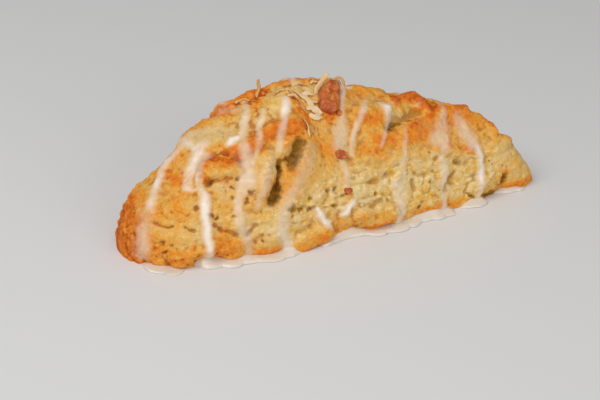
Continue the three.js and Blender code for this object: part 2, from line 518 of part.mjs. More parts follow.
/** A shred: a thin strip that leaves its place on the crust, arches and bends sideways. */
function shred({ at, heading, length, half, bow, arch, tip }) {
  const steps = clamp(Math.ceil(length / 1.3), 4, 7);
  const angle = THREE.MathUtils.degToRad(heading);
  const spots = [];
  for (let n = 0; n <= steps; n += 1) {
    const t = n / steps;
    const aside = bow * Math.sin(Math.PI * t);
    const x = at[0] + length * t * Math.cos(angle) - aside * Math.sin(angle);
    const g = at[1] + length * t * Math.sin(angle) + aside * Math.cos(angle);
    const { point, normal } = crustAt(x, g);
    const high = SHRED_ROOT + arch * Math.sin(Math.PI * t) + tip * t * t;
    spots.push({ point: point.addScaledVector(normal, high), normal });
  }
  const rings = [];
  for (let n = 1; n < steps; n += 1) {
    const ahead = spots[n + 1].point.clone().sub(spots[n - 1].point).normalize();
    const side = new THREE.Vector3().crossVectors(ahead, spots[n].normal).normalize();
    const up = new THREE.Vector3().crossVectors(side, ahead).normalize();
    rings.push([[1, 1], [-1, 1], [-1, -1], [1, -1]].map(([a, b]) => spots[n].point.clone()
      .addScaledVector(side, a * half).addScaledVector(up, b * SHRED_HALF_THICK)));
  }
  const root = spots[0].point.clone().addScaledVector(spots[0].normal, -SHRED_ROOT - 0.6);
  return loft(rings, root, spots[steps].point);
}

/** A small rounded bit, half sunk in the crumb. */
function redBit({ at, radius }) {
  const ball = new THREE.IcosahedronGeometry(radius, 1);
  const { point } = crustAt(at[0], at[1]);
  ball.scale(1.1, 0.8, 0.8).translate(point.x, point.y, point.z);
  return solidOf(ball);
}

/** The fruit: a rounded block with dents, lying on the crust; more makes it larger all round. */
function fruit(more) {
  const block = new THREE.IcosahedronGeometry(1, 3);
  const place = block.attributes.position;
  const direction = new THREE.Vector3();
  for (let n = 0; n < place.count; n += 1) {
    direction.fromBufferAttribute(place, n);
    const p = FRUIT.power;
    const size = (Math.abs(direction.x) ** p + Math.abs(direction.y) ** p + Math.abs(direction.z) ** p) ** (-1 / p);
    direction.multiplyScalar(size).multiply(new THREE.Vector3(FRUIT.halfAcross, FRUIT.halfUp, FRUIT.halfThick));
    direction.x *= 1 - FRUIT.taper * direction.y / FRUIT.halfUp;
    const [d, at] = [FRUIT_DENTS, direction];
    const [w, v] = [d.wave, d.wave * 0.6];
    const crease = Math.abs(noise(at.x / v, at.y / v, at.z / v, d.seed + 1));
    const dent = d.rise * (noise(at.x / w, at.y / w, at.z / w, d.seed) - d.creased * crease);
    direction.setLength(direction.length() + dent + more);
    place.setXYZ(n, direction.x, direction.y, direction.z);
  }
  const { point, normal } = crustAt(FRUIT.at[0], FRUIT.at[1]);
  const along = new THREE.Vector3(1, 0, 0).addScaledVector(normal, -normal.x).normalize();
  const up = new THREE.Vector3().crossVectors(normal, along);
  const turned = THREE.MathUtils.degToRad(FRUIT.turn);
  const across = along.clone().multiplyScalar(Math.cos(turned)).addScaledVector(up, Math.sin(turned));
  const frame = new THREE.Matrix4().makeBasis(across, new THREE.Vector3().crossVectors(normal, across), normal);
  frame.setPosition(point.addScaledVector(normal, FRUIT.lift));
  return solidOf(block.applyMatrix4(frame));
}

// ---- the scone ----

const pieces = [
  ...STRANDS.map((s, n) => strand(s, n)),
  ...farStrands(),
  ...FOOT_GLAZE.map((f, n) => footGlaze(f, n)),
  ...SHREDS.map(shred),
  ...RED_BITS.map(redBit),
];
const fused = pieces.reduce((whole, piece) => whole.add(piece), wedge()).subtract(fruit(FRUIT_GAP));

/** The largest of the bodies that a solid falls into, without any loose crumb. */
function largest(solid) {
  return solid.decompose().reduce((best, body) => (body.volume() > best.volume() ? body : best));
}

const baked = new THREE.MeshStandardMaterial({ color: 0xd9a45f, roughness: 0.7, metalness: 0 });
const dried = new THREE.MeshStandardMaterial({ color: 0xb5652f, roughness: 0.5, metalness: 0 });

const scone = new THREE.Mesh(geometryOf(largest(fused)), baked);
scone.name = 'scone';
const fruitPiece = new THREE.Mesh(geometryOf(fruit(0)), dried);
fruitPiece.name = 'fruit_piece';

const group = new THREE.Group();
group.add(scone, fruitPiece);

export default group;
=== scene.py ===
import bpy
import numpy as np
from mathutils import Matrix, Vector


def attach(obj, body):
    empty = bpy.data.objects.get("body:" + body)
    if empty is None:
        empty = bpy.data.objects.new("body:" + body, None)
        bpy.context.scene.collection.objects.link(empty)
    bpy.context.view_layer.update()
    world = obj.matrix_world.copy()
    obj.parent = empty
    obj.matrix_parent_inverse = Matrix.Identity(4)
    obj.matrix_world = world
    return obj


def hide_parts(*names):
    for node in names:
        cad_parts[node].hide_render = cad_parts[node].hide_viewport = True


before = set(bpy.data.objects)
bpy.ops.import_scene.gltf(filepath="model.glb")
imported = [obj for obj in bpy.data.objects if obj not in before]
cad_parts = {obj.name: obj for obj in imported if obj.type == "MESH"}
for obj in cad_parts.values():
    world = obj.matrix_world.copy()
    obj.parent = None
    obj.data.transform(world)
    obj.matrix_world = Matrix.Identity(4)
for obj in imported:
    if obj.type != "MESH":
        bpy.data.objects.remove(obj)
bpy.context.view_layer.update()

# A baked scone: a thick uneven wedge with a golden crust, torn pale crumb, translucent sugar glaze
# run down in strands and set round the foot, shreds and a piece of dried fruit on the crown.
# Sizes are in millimetres and become metres where a mesh is made. A surface place is (x, g):
# x along the scone, g the girth from the front foot up over the section to the back foot.

MM = 0.001
TAU = 2 * np.pi


# ---- form of the baked wedge, as in the solid that it replaces ----

STATIONS = np.array([  # x, front, back, height
    [-65.5, -16.6, 4.6, 18.4],
    [-53.5, -22.5, 11.6, 20],
    [-37.5, -25.9, 18.6, 30.7],
    [-19.5, -27.9, 25.6, 38],
    [0.5, -26.9, 27.6, 38.5],
    [18.5, -26.9, 18.6, 32.2],
    [36.5, -24.9, 6.6, 29],
    [52.5, -22.9, -5.4, 20],
    [65.5, -21.4, -16.4, 7],
])
LEFT, RIGHT = STATIONS[0, 0], STATIONS[-1, 0]
BLUNT_END, SHARP_END = 14.0, 8.0
CORNER_POWER = 2.5
END_POWER = 2.6
CROWN_PLACE = 0.1
CROWN_FALL = 1.8
FRONT_RIM = (10.5, 0.35, 0.92)  # base, share of the height, most of it
BACK_RIM = (8.0, 0.33, 0.86)

RINGS, COLUMNS, BASE_COLUMNS, SECTION_STEPS = 380, 240, 12, 240
BLUNT_SHARE, SHARP_SHARE = 0.14, 0.09  # of the rings, spent on each rounded end
FRONT_CLOSER = 0.78  # spacing of the columns at the front foot, as a share of the even spacing

# Lumps, ridges and cracks: run of surface places, half width, rise, firmness of the flanks.
RELIEF = [
    ([(-39.6, 28), (-35.6, 27.8)], 3.5, 2.3, 4),  # crust knob
    ([(-41.8, 24.3), (-41.4, 24.2)], 1, -1.8, 2),  # pit under the knob
    ([(-41, 24.5), (-36, 24.2)], 0.5, -0.6, 2),
    ([(-32, 31.6), (-26, 34), (-20, 36.4), (-12, 36.5)], 2.2, 1.5, 3),  # torn crust, a ledge
    ([(-14, 30.6), (-15.4, 28), (-17.2, 26.2)], 1.7, -2.2, 3),  # crack, broad at the top
    ([(-17.6, 28), (-19.4, 27.6), (-21.4, 26.6)], 0.9, -1.3, 2),
    ([(-21.4, 26), (-22, 23.6), (-22.8, 20.8)], 0.9, -2.5, 2),
    ([(-23.6, 19.6), (-24.8, 18), (-25.6, 16.8)], 1.6, -2.9, 3),  # and a pocket below
    ([(-15.6, 27.4), (-15.2, 25.6)], 1.2, -1.0, 2),
    ([(-18.4, 31), (-16.2, 32.7), (-13.2, 32.9)], 0.9, 0.8, 3),  # torn edge above it
    ([(-24.6, 28), (-26.6, 24), (-28.4, 20)], 2.6, 1.8, 2),  # the crack's left lip
    ([(-11.5, 30), (-15, 24.5), (-20, 17.5)], 2.6, 0.6, 2),  # and its right lip
    ([(23, 28.5), (28, 30.5), (36, 31), (43, 30)], 2.2, 1.7, 2),  # right lobe's crest
    ([(19, 32), (23, 33.5), (26.5, 32)], 2.2, -2.2, 2),  # valley behind the crest
    ([(15.4, 29.8), (18, 30)], 1.3, -2, 2),  # pit at the valley's end
    ([(21, 38.5), (25, 38.5), (29, 35)], 2.5, 1.5, 3),  # lump on the far edge
    ([(28.4, 38), (31.6, 37.4)], 2.6, 1.5, 2),
    ([(12, 26), (22, 25)], 3, 0.8, 2),  # swelling above the crumb
    ([(39, 31), (45, 27)], 3.6, 1.3, 3),  # first step down to the point
    ([(45.5, 29.5), (47.5, 30)], 1.6, -1.4, 2),
    ([(33.7, 8.6), (34.2, 11)], 1, -1.3, 2),  # little pockets in the crumb
    ([(19.6, 12.6), (20, 10.4)], 0.8, -1.1, 2),
    ([(53, 4.4), (53.3, 6.4)], 0.9, -1.5, 2),
    ([(34.8, 15.4), (36.2, 15)], 0.8, -1.1, 2),
    ([(49, 24.5), (52, 22)], 2.8, 1.2, 3),  # second step
    ([(53.5, 21), (55, 21.5)], 1.7, -1.6, 2),
    ([(3, 22), (10, 21.5), (22, 20.5), (30, 19.5), (38, 17.5), (44, 15)], 1.4, 0.8, 2),  # crust lip
    ([(2.5, 5.5), (10, 4.6)], 3.1, 2.1, 4),  # low lump by the foot
    ([(-53.5, 2.8), (-50, 3.2), (-46, 4.6)], 1.9, 1.5, 3),  # ragged ridge at the blunt end
    ([(-61, 0.5), (-54, 0.5)], 2.8, -1.4, 2),  # foot drawn in on both sides of it
    ([(-47.5, 1), (-43.5, 1)], 3.4, -2.3, 3),
    ([(-42, 4), (-38, 4)], 3, 1.1, 4),  # foot blocks
    ([(-30, 4), (-26.5, 4)], 2.6, 1, 4),
    ([(-18, 2.5), (-11, 3)], 3.2, 1.9, 4),
    ([(-57.6, 13), (-55.8, 12.4), (-54.6, 13.2)], 0.7, -0.9, 2),  # splits between the layers
    ([(-50.6, 12.4), (-48.8, 11.6)], 0.7, -0.9, 2),
    ([(-43, 11.6), (-41.4, 10.4)], 0.7, -1, 2),
    ([(-39.8, 9.6), (-37.2, 8.6)], 0.8, -1, 2),
    ([(-33.5, 8.2), (-30.6, 10.1)], 0.8, -1.2, 2),
    ([(-21.5, 13.5), (-17, 13), (-13, 12.5)], 1, -1, 2),
    ([(6, 15), (13, 16.5)], 1, -0.9, 2),
    ([(21, 14.5), (27, 13)], 1, -0.9, 2),
    ([(31, 7), (34.5, 12)], 1, -1.1, 2),
    ([(38, 4), (41, 9)], 1, -0.9, 2),
    ([(35, 15.3), (40, 14)], 0.9, -0.9, 2),
    ([(14, 10), (36, 9)], 6, -0.8, 2),  # hollow of the crumb face
    ([(55, 18.5), (57, 17)], 2.2, 0.6, 2),  # third step
    ([(58.5, 15), (62.5, 8)], 2.4, -0.8, 2),  # drawn in towards the point
    ([(45.5, 1), (51.5, 1)], 2.5, -2, 2),  # undercut near the point
    ([(-14, 48), (-4, 50)], 5.5, 0.8, 2),  # crown
    ([(-30, 50.2), (-26, 51.4), (-22, 52.3)], 1.8, 1.8, 2),  # rim of the crown
    ([(-20, 52.3), (-11, 51.6), (-1, 51)], 1.5, 1.1, 2),
    ([(-14, 59), (-4, 59)], 5, -1.5, 2),
    ([(-60, 37), (-55.5, 39.5)], 4.5, -1.7, 2),  # fall of the blunt end
    ([(-47, 45), (-40, 50)], 4.5, -1.6, 2),
    ([(-33, 53), (-28, 55)], 3.4, -1.6, 2),
    ([(-40, 45.5), (-37, 49)], 3, 1.5, 2),  # left shoulder
    ([(24, 43), (32, 41)], 3.2, -1.6, 2),
    ([(9, 48), (11.5, 56)], 2, -1.7, 2),  # step down beside the crown
    ([(14, 46), (19, 44)], 3, 1.3, 3),
    ([(-28, 66), (-16, 74), (-4, 70)], 3, 1.6, 2),  # far side: crust folds and splits
    ([(2, 78), (12, 70), (22, 62)], 3, 1.4, 2),
    ([(-24, 72), (-12, 80)], 1.6, -1.8, 2),
    ([(6, 68), (14, 60)], 1.6, -1.6, 2),
    ([(-8, 90), (4, 90)], 4, 1.5, 3),
    ([(26, 58), (34, 52)], 3, 1.4, 3),
    ([(-44, 60), (-38, 66)], 3.4, 1.4, 3),
    ([(-32, 84), (-26, 86)], 3, 1.2, 3),
]

# How long the crust baked: run, half width, and the change of tone from the plain middle. Three rows darken a
# groove and pockets of the relief, which is painted shade.
DARKER = [
    ([(-65.5, 12), (-64, 24), (-65, 4)], 5.6, 0.3),
    ([(-50, 31), (-48.6, 26)], 1.8, 0.26),
    ([(-55, 2.5), (-49, 5)], 2.2, 0.14),
    ([(-42.2, 26), (-42.4, 28.4), (-40.6, 30.4), (-37.7, 30.8), (-33, 29.6)], 1.2, 0.36),
    ([(-38, 28.6), (-35, 28)], 3, 0.22),
    # painted shade in the groove under the knob
    ([(-41, 24.5), (-36, 24.2)], 0.6, 0.2),
    ([(-32, 31.6), (-26, 33.6), (-21, 35), (-13, 35.8)], 2.4, 0.22),
    ([(-21.5, 35.4), (-19.4, 37)], 1.4, 0.24),
    ([(-16.8, 37), (-12, 36.6)], 1.2, 0.34),
    ([(-31.5, 31), (-30, 32.6)], 1.5, 0.2),
    ([(-18.4, 33.4), (-17.6, 34.4)], 1.2, 0.2),
    ([(-32, 47.5), (-28, 49.5), (-22, 51.5), (-11, 52), (0, 52)], 1.6, 0.32),
    ([(-23, 46), (-19, 49)], 2.2, 0.2),
    ([(-12, 46), (-9, 38)], 1.2, 0.26),
    ([(-12, 33), (-14, 30)], 1, 0.2),
    ([(-9, 30), (-5, 28)], 2, 0.14),
    ([(-16, 26), (-18, 23.5)], 1.8, 0.08),
    ([(-1.5, 36.5), (2, 38)], 1.6, 0.3),
    ([(8, 34), (13, 33)], 2, 0.16),
    ([(8, 42), (12, 43)], 2.4, 0.12),
    ([(5, 25), (9, 24)], 2.4, 0.1),
    ([(11, 27), (16, 26)], 2.2, 0.18),
    ([(20, 25), (25, 25)], 2.2, 0.14),
    ([(22, 28.3), (27, 30.5), (33, 31.5), (43, 30)], 1.8, 0.22),
    ([(22, 38.5), (25, 38.3), (28.5, 35.6), (31, 33)], 2.2, 0.42),
    ([(26, 27), (38, 27)], 2.6, 0.14),
    ([(42, 27), (48, 25), (51, 23)], 1.8, 0.16),
    ([(30, 20), (38, 18.5), (44, 16)], 1.6, 0.18),
    ([(-45, 3), (-37, 3)], 3, 0.13),
    ([(-44, 8), (-39, 6)], 2, 0.12),
    ([(-31, 1.8), (-25, 2)], 1.8, 0.22),
    ([(-20, 2), (-10, 2)], 1.6, 0.12),
    ([(0.4, 6.5), (3.4, 3), (8, 2), (12, 2.8)], 1, 0.3),
    ([(3, 7), (10.5, 6)], 1.6, 0.14),
    # painted shade in a pocket of the crumb
    ([(33.7, 8), (34.3, 11)], 0.8, 0.3),
    ([(26, 7), (24, 10)], 1, 0.2),
    ([(22, 3), (40, 2)], 1.4, 0.2),
    # painted shade in another pocket of the crumb
    ([(52.5, 4), (53.5, 7)], 1, 0.3),
    ([(55, 1.6), (60, 1.6), (65, 1.6)], 1.6, 0.24),
    ([(63, 5), (65.5, 2)], 2, 0.14),
    ([(-30, 66), (-16, 74), (-4, 71)], 3.4, 0.25),
    ([(2, 79), (12, 71), (24, 61)], 3.4, 0.25),
    ([(-8, 91), (6, 91)], 5, 0.3),
    ([(-46, 60), (-38, 68)], 4, 0.25),
    ([(28, 58), (38, 50)], 4, 0.25),
]
PALER = [
    ([(3, 13), (20, 13), (34, 11)], 8, 0.34),
    ([(36, 8), (45, 9)], 6, 0.3),
    ([(48, 13), (56, 10), (60, 8)], 6, 0.24),
    ([(-20, 9), (-6, 15), (2, 11)], 7, 0.28),
    ([(-34, 11), (-24, 8)], 6, 0.3),
    ([(-37, 22), (-30, 22)], 5, 0.2),
    ([(-54, 11), (-46, 10), (-42, 14)], 4, 0.16),
    ([(-47, 17), (-41, 20)], 3, 0.1),
    ([(-26, 26), (-22, 31)], 3, 0.16),
    ([(-14, 25), (-8, 34)], 4, 0.06),
    ([(-40, 40), (-32, 40), (-24, 42)], 4, 0.24),
    ([(-18, 42), (-14, 48), (-3, 47)], 3.4, 0.2),
    ([(18, 33), (26, 33)], 2.6, 0.24),
    ([(-20, 76), (-8, 82)], 5, 0.3),
    ([(10, 64), (18, 58)], 4, 0.3),
    ([(-38, 72), (-30, 70)], 4, 0.25),
]
# Open, clotted crumb: run, half width, share.
CRUMB = [
    ([(3, 14), (20, 12), (34, 11), (45, 9)], 8, 1),
    ([(48, 13), (55, 9), (59, 8)], 5.5, 0.5),
    ([(-20, 10), (-5, 15)], 6, 1),
    ([(-36, 12), (-26, 10)], 4, 0.8),
    ([(-55, 11), (-46, 11)], 3, 0.45),
    ([(-26, 25), (-20, 31)], 3.4, 0.7),
    ([(-40, 41), (-30, 40)], 3.6, 0.5),
    ([(-18, 43), (-4, 47)], 3.4, 0.7),
    ([(18, 33), (27, 33)], 2.6, 0.7),
    ([(-20, 76), (-8, 82)], 5, 0.9),
    ([(10, 64), (18, 58)], 4, 0.9),
    ([(-38, 72), (-30, 70)], 4, 0.8),
]
# Rough, grainy crust: run, half width, share.
GRITTY = [
    ([(-65.5, 10), (-63, 28), (-65.5, 2)], 6.5, 1),
    ([(-55, 3), (-50, 4)], 3.6, 0.55),
    ([(-42, 29), (-34, 30)], 3.4, 0.9),
    ([(-52, 15), (-44, 10)], 6, 0.35),
    ([(-31, 44), (-22, 46)], 5, 0.5),
    ([(2, 6), (11, 5)], 4, 0.6),
    ([(21, 38.5), (28, 36.5), (33, 37)], 3, 0.6),
    ([(-32, 49), (-20, 51), (0, 52)], 3, 0.8),
    ([(22, 31), (30, 34), (36, 33)], 3, 0.3),
    ([(-45, 4), (-37, 4)], 3, 0.5),
]
# Hollows, pits and undercuts painted with olive-brown shade: run, half width, share.
SHADED_HOLLOWS = [
    ([(-14, 30.8), (-15.2, 28.4), (-17, 26.4)], 1.8, 1),
    ([(-23.6, 27), (-25, 23.5), (-27, 19.5)], 1.5, 0.3),
    ([(-17.8, 28), (-19.4, 27.6), (-21.4, 26.6)], 0.7, 0.7),
    ([(-21.4, 26), (-22, 23.6), (-22.8, 20.8)], 0.9, 0.85),
    ([(-23.6, 19.6), (-25.6, 16.8)], 1.6, 0.9),
    ([(-15.6, 27.4), (-15.2, 25.8)], 0.9, 0.4),
    ([(-41.8, 24.3), (-41.3, 24.2)], 0.8, 0.8),
    ([(15.6, 30.1), (19, 30.5)], 1, 1),
    ([(20, 33), (26, 33.4)], 1.6, 0.1),
    ([(1.6, 8.6), (4, 9.9), (8, 9.8)], 0.5, 0.4),
    ([(34.9, 15.3), (36, 15)], 0.6, 0.5),
    ([(51.2, 4.2), (53.4, 5.4)], 1.1, 0.7),
    ([(38.8, 3.4), (40.4, 3.2)], 0.8, 0.8),
    ([(46.4, 0.4), (50.6, 0.4)], 1.4, 0.9),
]
# Single deep pores: surface place and radius.
PORES = [
    ((-57.1, 7.8), 0.9), ((-56.8, 4.9), 0.7), ((-31.4, 19.8), 0.6), ((-32.4, 18.6), 0.6),
    ((-32.9, 17.6), 0.7), ((-30.6, 20.2), 0.45), ((-19.9, 13.4), 1.1), ((-18.4, 12.1), 0.9),
    ((-20.4, 11.6), 0.6), ((-16.9, 12.4), 0.7), ((-13.9, 15.1), 0.8), ((-14.4, 11.6), 0.5),
    ((-12.6, 11.4), 0.6), ((-8.2, 15.8), 0.9), ((-6, 15.8), 0.6), ((-3.6, 13.3), 0.5),
    ((-6.9, 11.2), 0.8), ((-29.6, 5.2), 0.6), ((-37, 13.7), 0.6), ((-36.6, 19.4), 0.6),
    ((-35.9, 21.8), 0.6), ((-46.7, 17.3), 0.9), ((-43, 14.8), 0.7), ((-41.8, 14.2), 0.7),
    ((-33.6, 24.4), 0.6), ((21, 4.4), 0.7), ((39.6, 3.1), 0.7), ((26.3, 19.7), 0.5), ((26, 11), 0.6),
    ((11, 16.5), 0.6), ((7, 12), 0.5), ((-25, 37.5), 0.5), ((-23, 48), 0.6), ((-2, 52), 0.6),
    ((24, 31), 0.6), ((52.6, 9.5), 0.4), ((48, 12), 0.4),
]

# Glaze soaked in as a thin film: points of surface place, half width and cover.
FILMS = [
    [(-58, 26, 0.8, 0.35), (-59.7, 19.5, 0.8, 0.4), (-61.3, 14, 0.8, 0.35)],
    [(-44, 43, 2.4, 0.6), (-39, 42, 3.4, 0.75), (-34, 40.5, 3, 0.65), (-31, 38, 2, 0.6)],
    [(-34, 46.5, 1.4, 0.6), (-28.5, 47.2, 1.9, 0.75), (-24.5, 46.5, 1.8, 0.65)],
    [(-12.5, 31, 2, 0.35), (-15, 25, 2.2, 0.4), (-18, 20, 2, 0.35)],
    [(-11.5, 20, 1.6, 0.4), (-12.2, 12.5, 1.8, 0.4)],
    [(4, 41, 2.4, 0.35), (14, 40, 2.6, 0.5), (20, 36, 2, 0.45), (18, 32.5, 2, 0.4)],
    [(10.5, 22, 1.8, 0.4), (9.5, 14, 2, 0.4)],
    [(15, 14, 3, 0.35), (14, 5, 3, 0.4)],
    [(28, 27, 4, 0.4), (34, 26, 3.4, 0.45)],
    [(38, 27, 3, 0.4), (42, 21, 3.2, 0.45)],
    [(-1, 34, 4.5, 0.35), (-2, 24, 3.5, 0.35), (-3, 12, 3, 0.35)],
    [(-31, 30, 3.6, 0.4), (-33, 20, 3.4, 0.45), (-35, 8, 2.6, 0.4)],
    [(-24, 14, 3, 0.35), (-23, 4, 3, 0.45)],
    [(-60, 14, 3, 0.3), (-62, 4, 2.6, 0.35)],
]

# Glaze strands: points of surface place, half width and milkiness.
STRANDS = [
    [(-39.2, 44, 0.8, 0.3), (-42.3, 40, 1.1, 0.35), (-45.6, 37.6, 1.3, 0.65), (-48, 36, 1.4, 0.8),
     (-51, 32.8, 1, 0.6), (-53.2, 27.8, 1, 1), (-55.2, 22.8, 1, 0.6), (-57, 19, 1.2, 0.7),
     (-58.4, 16, 2, 0.12), (-59.7, 12, 2, 0.3), (-60.8, 8.6, 1.6, 0.5), (-62, 3, 1.7, 0.4)],
    [(-38.5, 37, 1.6, 0.45), (-40.6, 35.8, 1.9, 0.65), (-42.6, 32.3, 2, 0.85), (-44.8, 29.7, 1.9, 0.75),
     (-46.6, 26.7, 1.6, 0.45), (-47.4, 23.8, 1.5, 0.65)],
    [(-39.7, 33.2, 1.6, 0.45), (-42.6, 29.9, 1.6, 0.5), (-43.8, 27.3, 1.3, 0.55),
     (-44.3, 24.5, 0.95, 0.4), (-43.4, 20.6, 1.5, 0.8), (-44.4, 16.6, 1.5, 1), (-45.1, 13, 1.5, 0.95),
     (-45.4, 8.5, 1.5, 0.95), (-45.5, 4, 1.5, 0.75), (-46, 1, 2, 0.85)],
    [(-23.5, 49, 0.9, 0.2), (-24.2, 46.6, 1.1, 0.4), (-27.2, 41, 1.3, 0.65), (-29.7, 35, 1.6, 0.4),
     (-29.8, 28.9, 2.6, 0.55), (-31.2, 23.7, 3, 0.65), (-34.7, 19.2, 1.4, 0.5), (-35.6, 16.2, 1.4, 0.65),
     (-35.8, 12.4, 1.9, 0.4), (-34.7, 8, 1.9, 0.55), (-34.2, 3.1, 1.9, 0.35), (-34.6, 1, 1.8, 0.7)],
    [(-20.9, 43.4, 0.8, 0.35), (-23.4, 39.2, 0.9, 0.7), (-24.7, 36.4, 1.1, 0.5), (-26.4, 32, 1, 0.35),
     (-28.6, 27.7, 0.9, 0.25)],
    [(-13.6, 44.2, 1.4, 0.8), (-15.2, 41.3, 1.6, 1), (-16.8, 38.3, 1.3, 0.6), (-18.3, 35.4, 1.2, 0.45),
     (-19.6, 32, 1.2, 0.5), (-20.6, 29.8, 1.1, 0.35)],
    [(-22.6, 28.8, 1.6, 0.2), (-25.6, 24.4, 2.2, 0.3), (-28.2, 19.4, 1.8, 0.4), (-30, 15.6, 1.3, 0.3)],
    [(-10.6, 29, 2.6, 0.1), (-13.4, 24, 3, 0.2), (-17.5, 20, 2.6, 0.3), (-21.4, 15.5, 2.2, 0.35),
     (-23.3, 12.1, 2.2, 0.45), (-24, 8.6, 2.3, 0.6), (-22.9, 4.8, 1.9, 0.65), (-22.4, 1.3, 1.6, 0.8)],
    [(7.3, 48, 1.2, 0.55), (4.4, 42, 1.2, 0.7), (1.9, 36.4, 1.2, 0.4), (0.3, 32.1, 2.7, 0.5),
     (-1.3, 27.8, 3, 0.5), (-1.6, 23.2, 1.4, 0.3), (-1.4, 20, 1.4, 0.5), (-1.8, 16.9, 1.2, 0.4),
     (-2.6, 13.6, 1, 0.15)],
    [(11.8, 39.6, 1.1, 0.4), (9, 35.8, 1.5, 0.6), (6.2, 33.1, 1.2, 0.5), (4.2, 30.9, 1, 0.7),
     (2.8, 27.2, 1.1, 0.4), (1.8, 24.3, 1, 0.4)],
    [(16, 38.2, 1.1, 0.5), (17, 35.7, 1.6, 0.9), (16.8, 33.4, 1.4, 0.85), (15.4, 31, 1.1, 0.55),
     (13.4, 28.2, 1, 0.5), (11.2, 25, 0.8, 0.3)],
    [(19.8, 28.1, 0.8, 0.2), (18.8, 24.5, 1.1, 0.4), (17.8, 20.2, 1.2, 0.4), (16, 16.3, 1.4, 0.35),
     (15, 12.2, 2.5, 0.35), (14.6, 8.7, 2.4, 0.4), (14.2, 4.5, 1.9, 0.65), (13.3, 1.2, 1.8, 0.8)],
    [(36, 35, 0.9, 0.35), (34.8, 32.1, 0.9, 0.15), (34.3, 29.7, 1.3, 0.45), (32.4, 26.2, 3.4, 0.4),
     (30.8, 23, 4.2, 0.5), (31.4, 20.4, 2.4, 0.45), (30.2, 17.4, 1.5, 0.4), (30.9, 12.9, 1.7, 0.6),
     (30.4, 8.6, 1.4, 0.6), (29.8, 4.1, 1.5, 0.55), (29.9, 1, 1.5, 0.75)],
    [(39, 28, 1.8, 0.35), (40, 23.5, 3.1, 0.5), (41.6, 19.6, 2.8, 0.55), (43.9, 16.4, 1.5, 0.9),
     (44.3, 12.2, 1.4, 0.85), (43.6, 7.7, 1.4, 0.9), (43.2, 3.3, 1.4, 0.5), (42.8, 1, 1.6, 0.8)],
]
# Small thick dabs and curls of glaze.
DABS = [
    [(-32.6, 35.2, 1.2, 0.9), (-31.4, 36, 1.5, 1), (-30.6, 36.6, 1.2, 1)],
    [(-12.2, 11.8, 0.7, 0.8), (-11.4, 9.8, 1.6, 1), (-10.4, 7.8, 1.2, 1), (-9.5, 6.4, 1.5, 0.9),
     (-8.4, 5, 0.7, 0.6)],
    [(-5, 8.2, 0.7, 0.8), (-3.4, 8.7, 1.5, 1), (-2.2, 9.9, 1, 1), (-1, 10.5, 1.4, 0.9),
     (-0.2, 11.8, 0.7, 0.7)],
    [(-5.6, 10.6, 0.5, 0.6), (-4.2, 10, 0.6, 0.8)],
    [(13.2, 14.6, 0.8, 0.6), (13.4, 13, 0.9, 0.7)],
    [(33.6, 23.4, 0.8, 0.6), (33, 21.6, 0.8, 0.7)],
    [(-36, 18, 0.7, 0.6), (-35.7, 15.8, 0.7, 0.6)],
    [(-47.6, 23.2, 0.8, 0.6), (-46.2, 22.8, 0.7, 0.5), (-44.6, 23.2, 0.8, 0.5)],
]
FAR_STRANDS = dict(first=-47, last=41, count=6, start=0.56, end=0.99, lean=7, half=1.4)

# Glaze round the foot: side, then points of place along X, reach on the plate and height on the crust.
FOOT_GLAZE = [
    ("front", [(-62.6, 0.6, 0.6), (-61, 1.8, 1), (-59.4, 3, 0.9), (-58, 3.8, 0.8), (-56.5, 3.3, 0.7),
        (-55, 4.4, 0.8), (-53.4, 4, 0.7), (-52, 2, 0.6)]),
    ("front", [(-49.6, 1, 1.6), (-48, 1.4, 2.8), (-45.8, 2.8, 3), (-42, 3.5, 1.8), (-38, 3.2, 1),
        (-35, 2.5, 1.8), (-31.5, 3.2, 1), (-26.5, 3.8, 1.2), (-23.2, 2.9, 2.6), (-20.4, 2.2, 2.8),
        (-18.6, 1.4, 1)]),
    ("front", [(-12.6, 2.2, 0.8), (-10, 1.8, 1.4), (-5, 1, 1.8), (-2.6, 2, 3), (1, 2.3, 1.8),
        (5.5, 2.7, 1.2), (11.4, 3.6, 1.4), (16.8, 3.3, 1.8), (20, 1.8, 2.2), (23.5, 1.6, 2.2),
        (27.5, 3, 1.8), (31, 3.8, 1.4), (34, 2.4, 0.9)]),
    ("front", [(35.6, 1.3, 0.7), (38, 2, 1.2), (41, 2.5, 2), (43.4, 2.7, 2.2), (45.4, 1.6, 0.9)]),
    ("front", [(50.2, 1.2, 1), (53, 1.5, 1.5), (56.5, 1.1, 1.4), (59.5, 1.5, 0.9), (61.4, 1, 0.6)]),
    ("back", [(-52, 2, 2), (-44, 3.2, 2.6), (-36, 2, 1.6), (-28, 3.6, 3.2), (-20, 2.2, 1.6),
        (-14, 1.6, 1.2)]),
    ("back", [(-6, 1.8, 1.4), (0, 2.8, 2.8), (8, 2.2, 1.6), (16, 3.8, 2.6), (24, 2.2, 1.4), (30, 3, 2.6),
        (36, 1.6, 1.2)]),
]
FOOT_INSIDE, FOOT_LIP = 2.2, 0.95  # how far a bank reaches in under the crust, and its lip's height
FOOT_TAPER = 2.2  # length over which a bank narrows to its ends
FOOT_SAMPLES, FOOT_STEP = 500, 0.5  # samples to measure a bank's line, and the distance of its rings
FOOT_LINE_ROUNDS, FOOT_ROW_ROUNDS = 12, 6  # softening of the line, and of reach and height along it
# Outward places of a bank's columns, from 0 at the crust to 1 at the edge: over it, then under it.
FOOT_OVER = np.concatenate([[-1, -0.5], np.linspace(0, 0.84, 8), [0.91, 0.96, 0.99, 1]])
FOOT_UNDER = [0.985, 0.94, 0.3, -0.6]
FOOT_UNDER_VEIL = 0.6
FOOT_SEED, FOOT_SEED_STEP = 400, 17
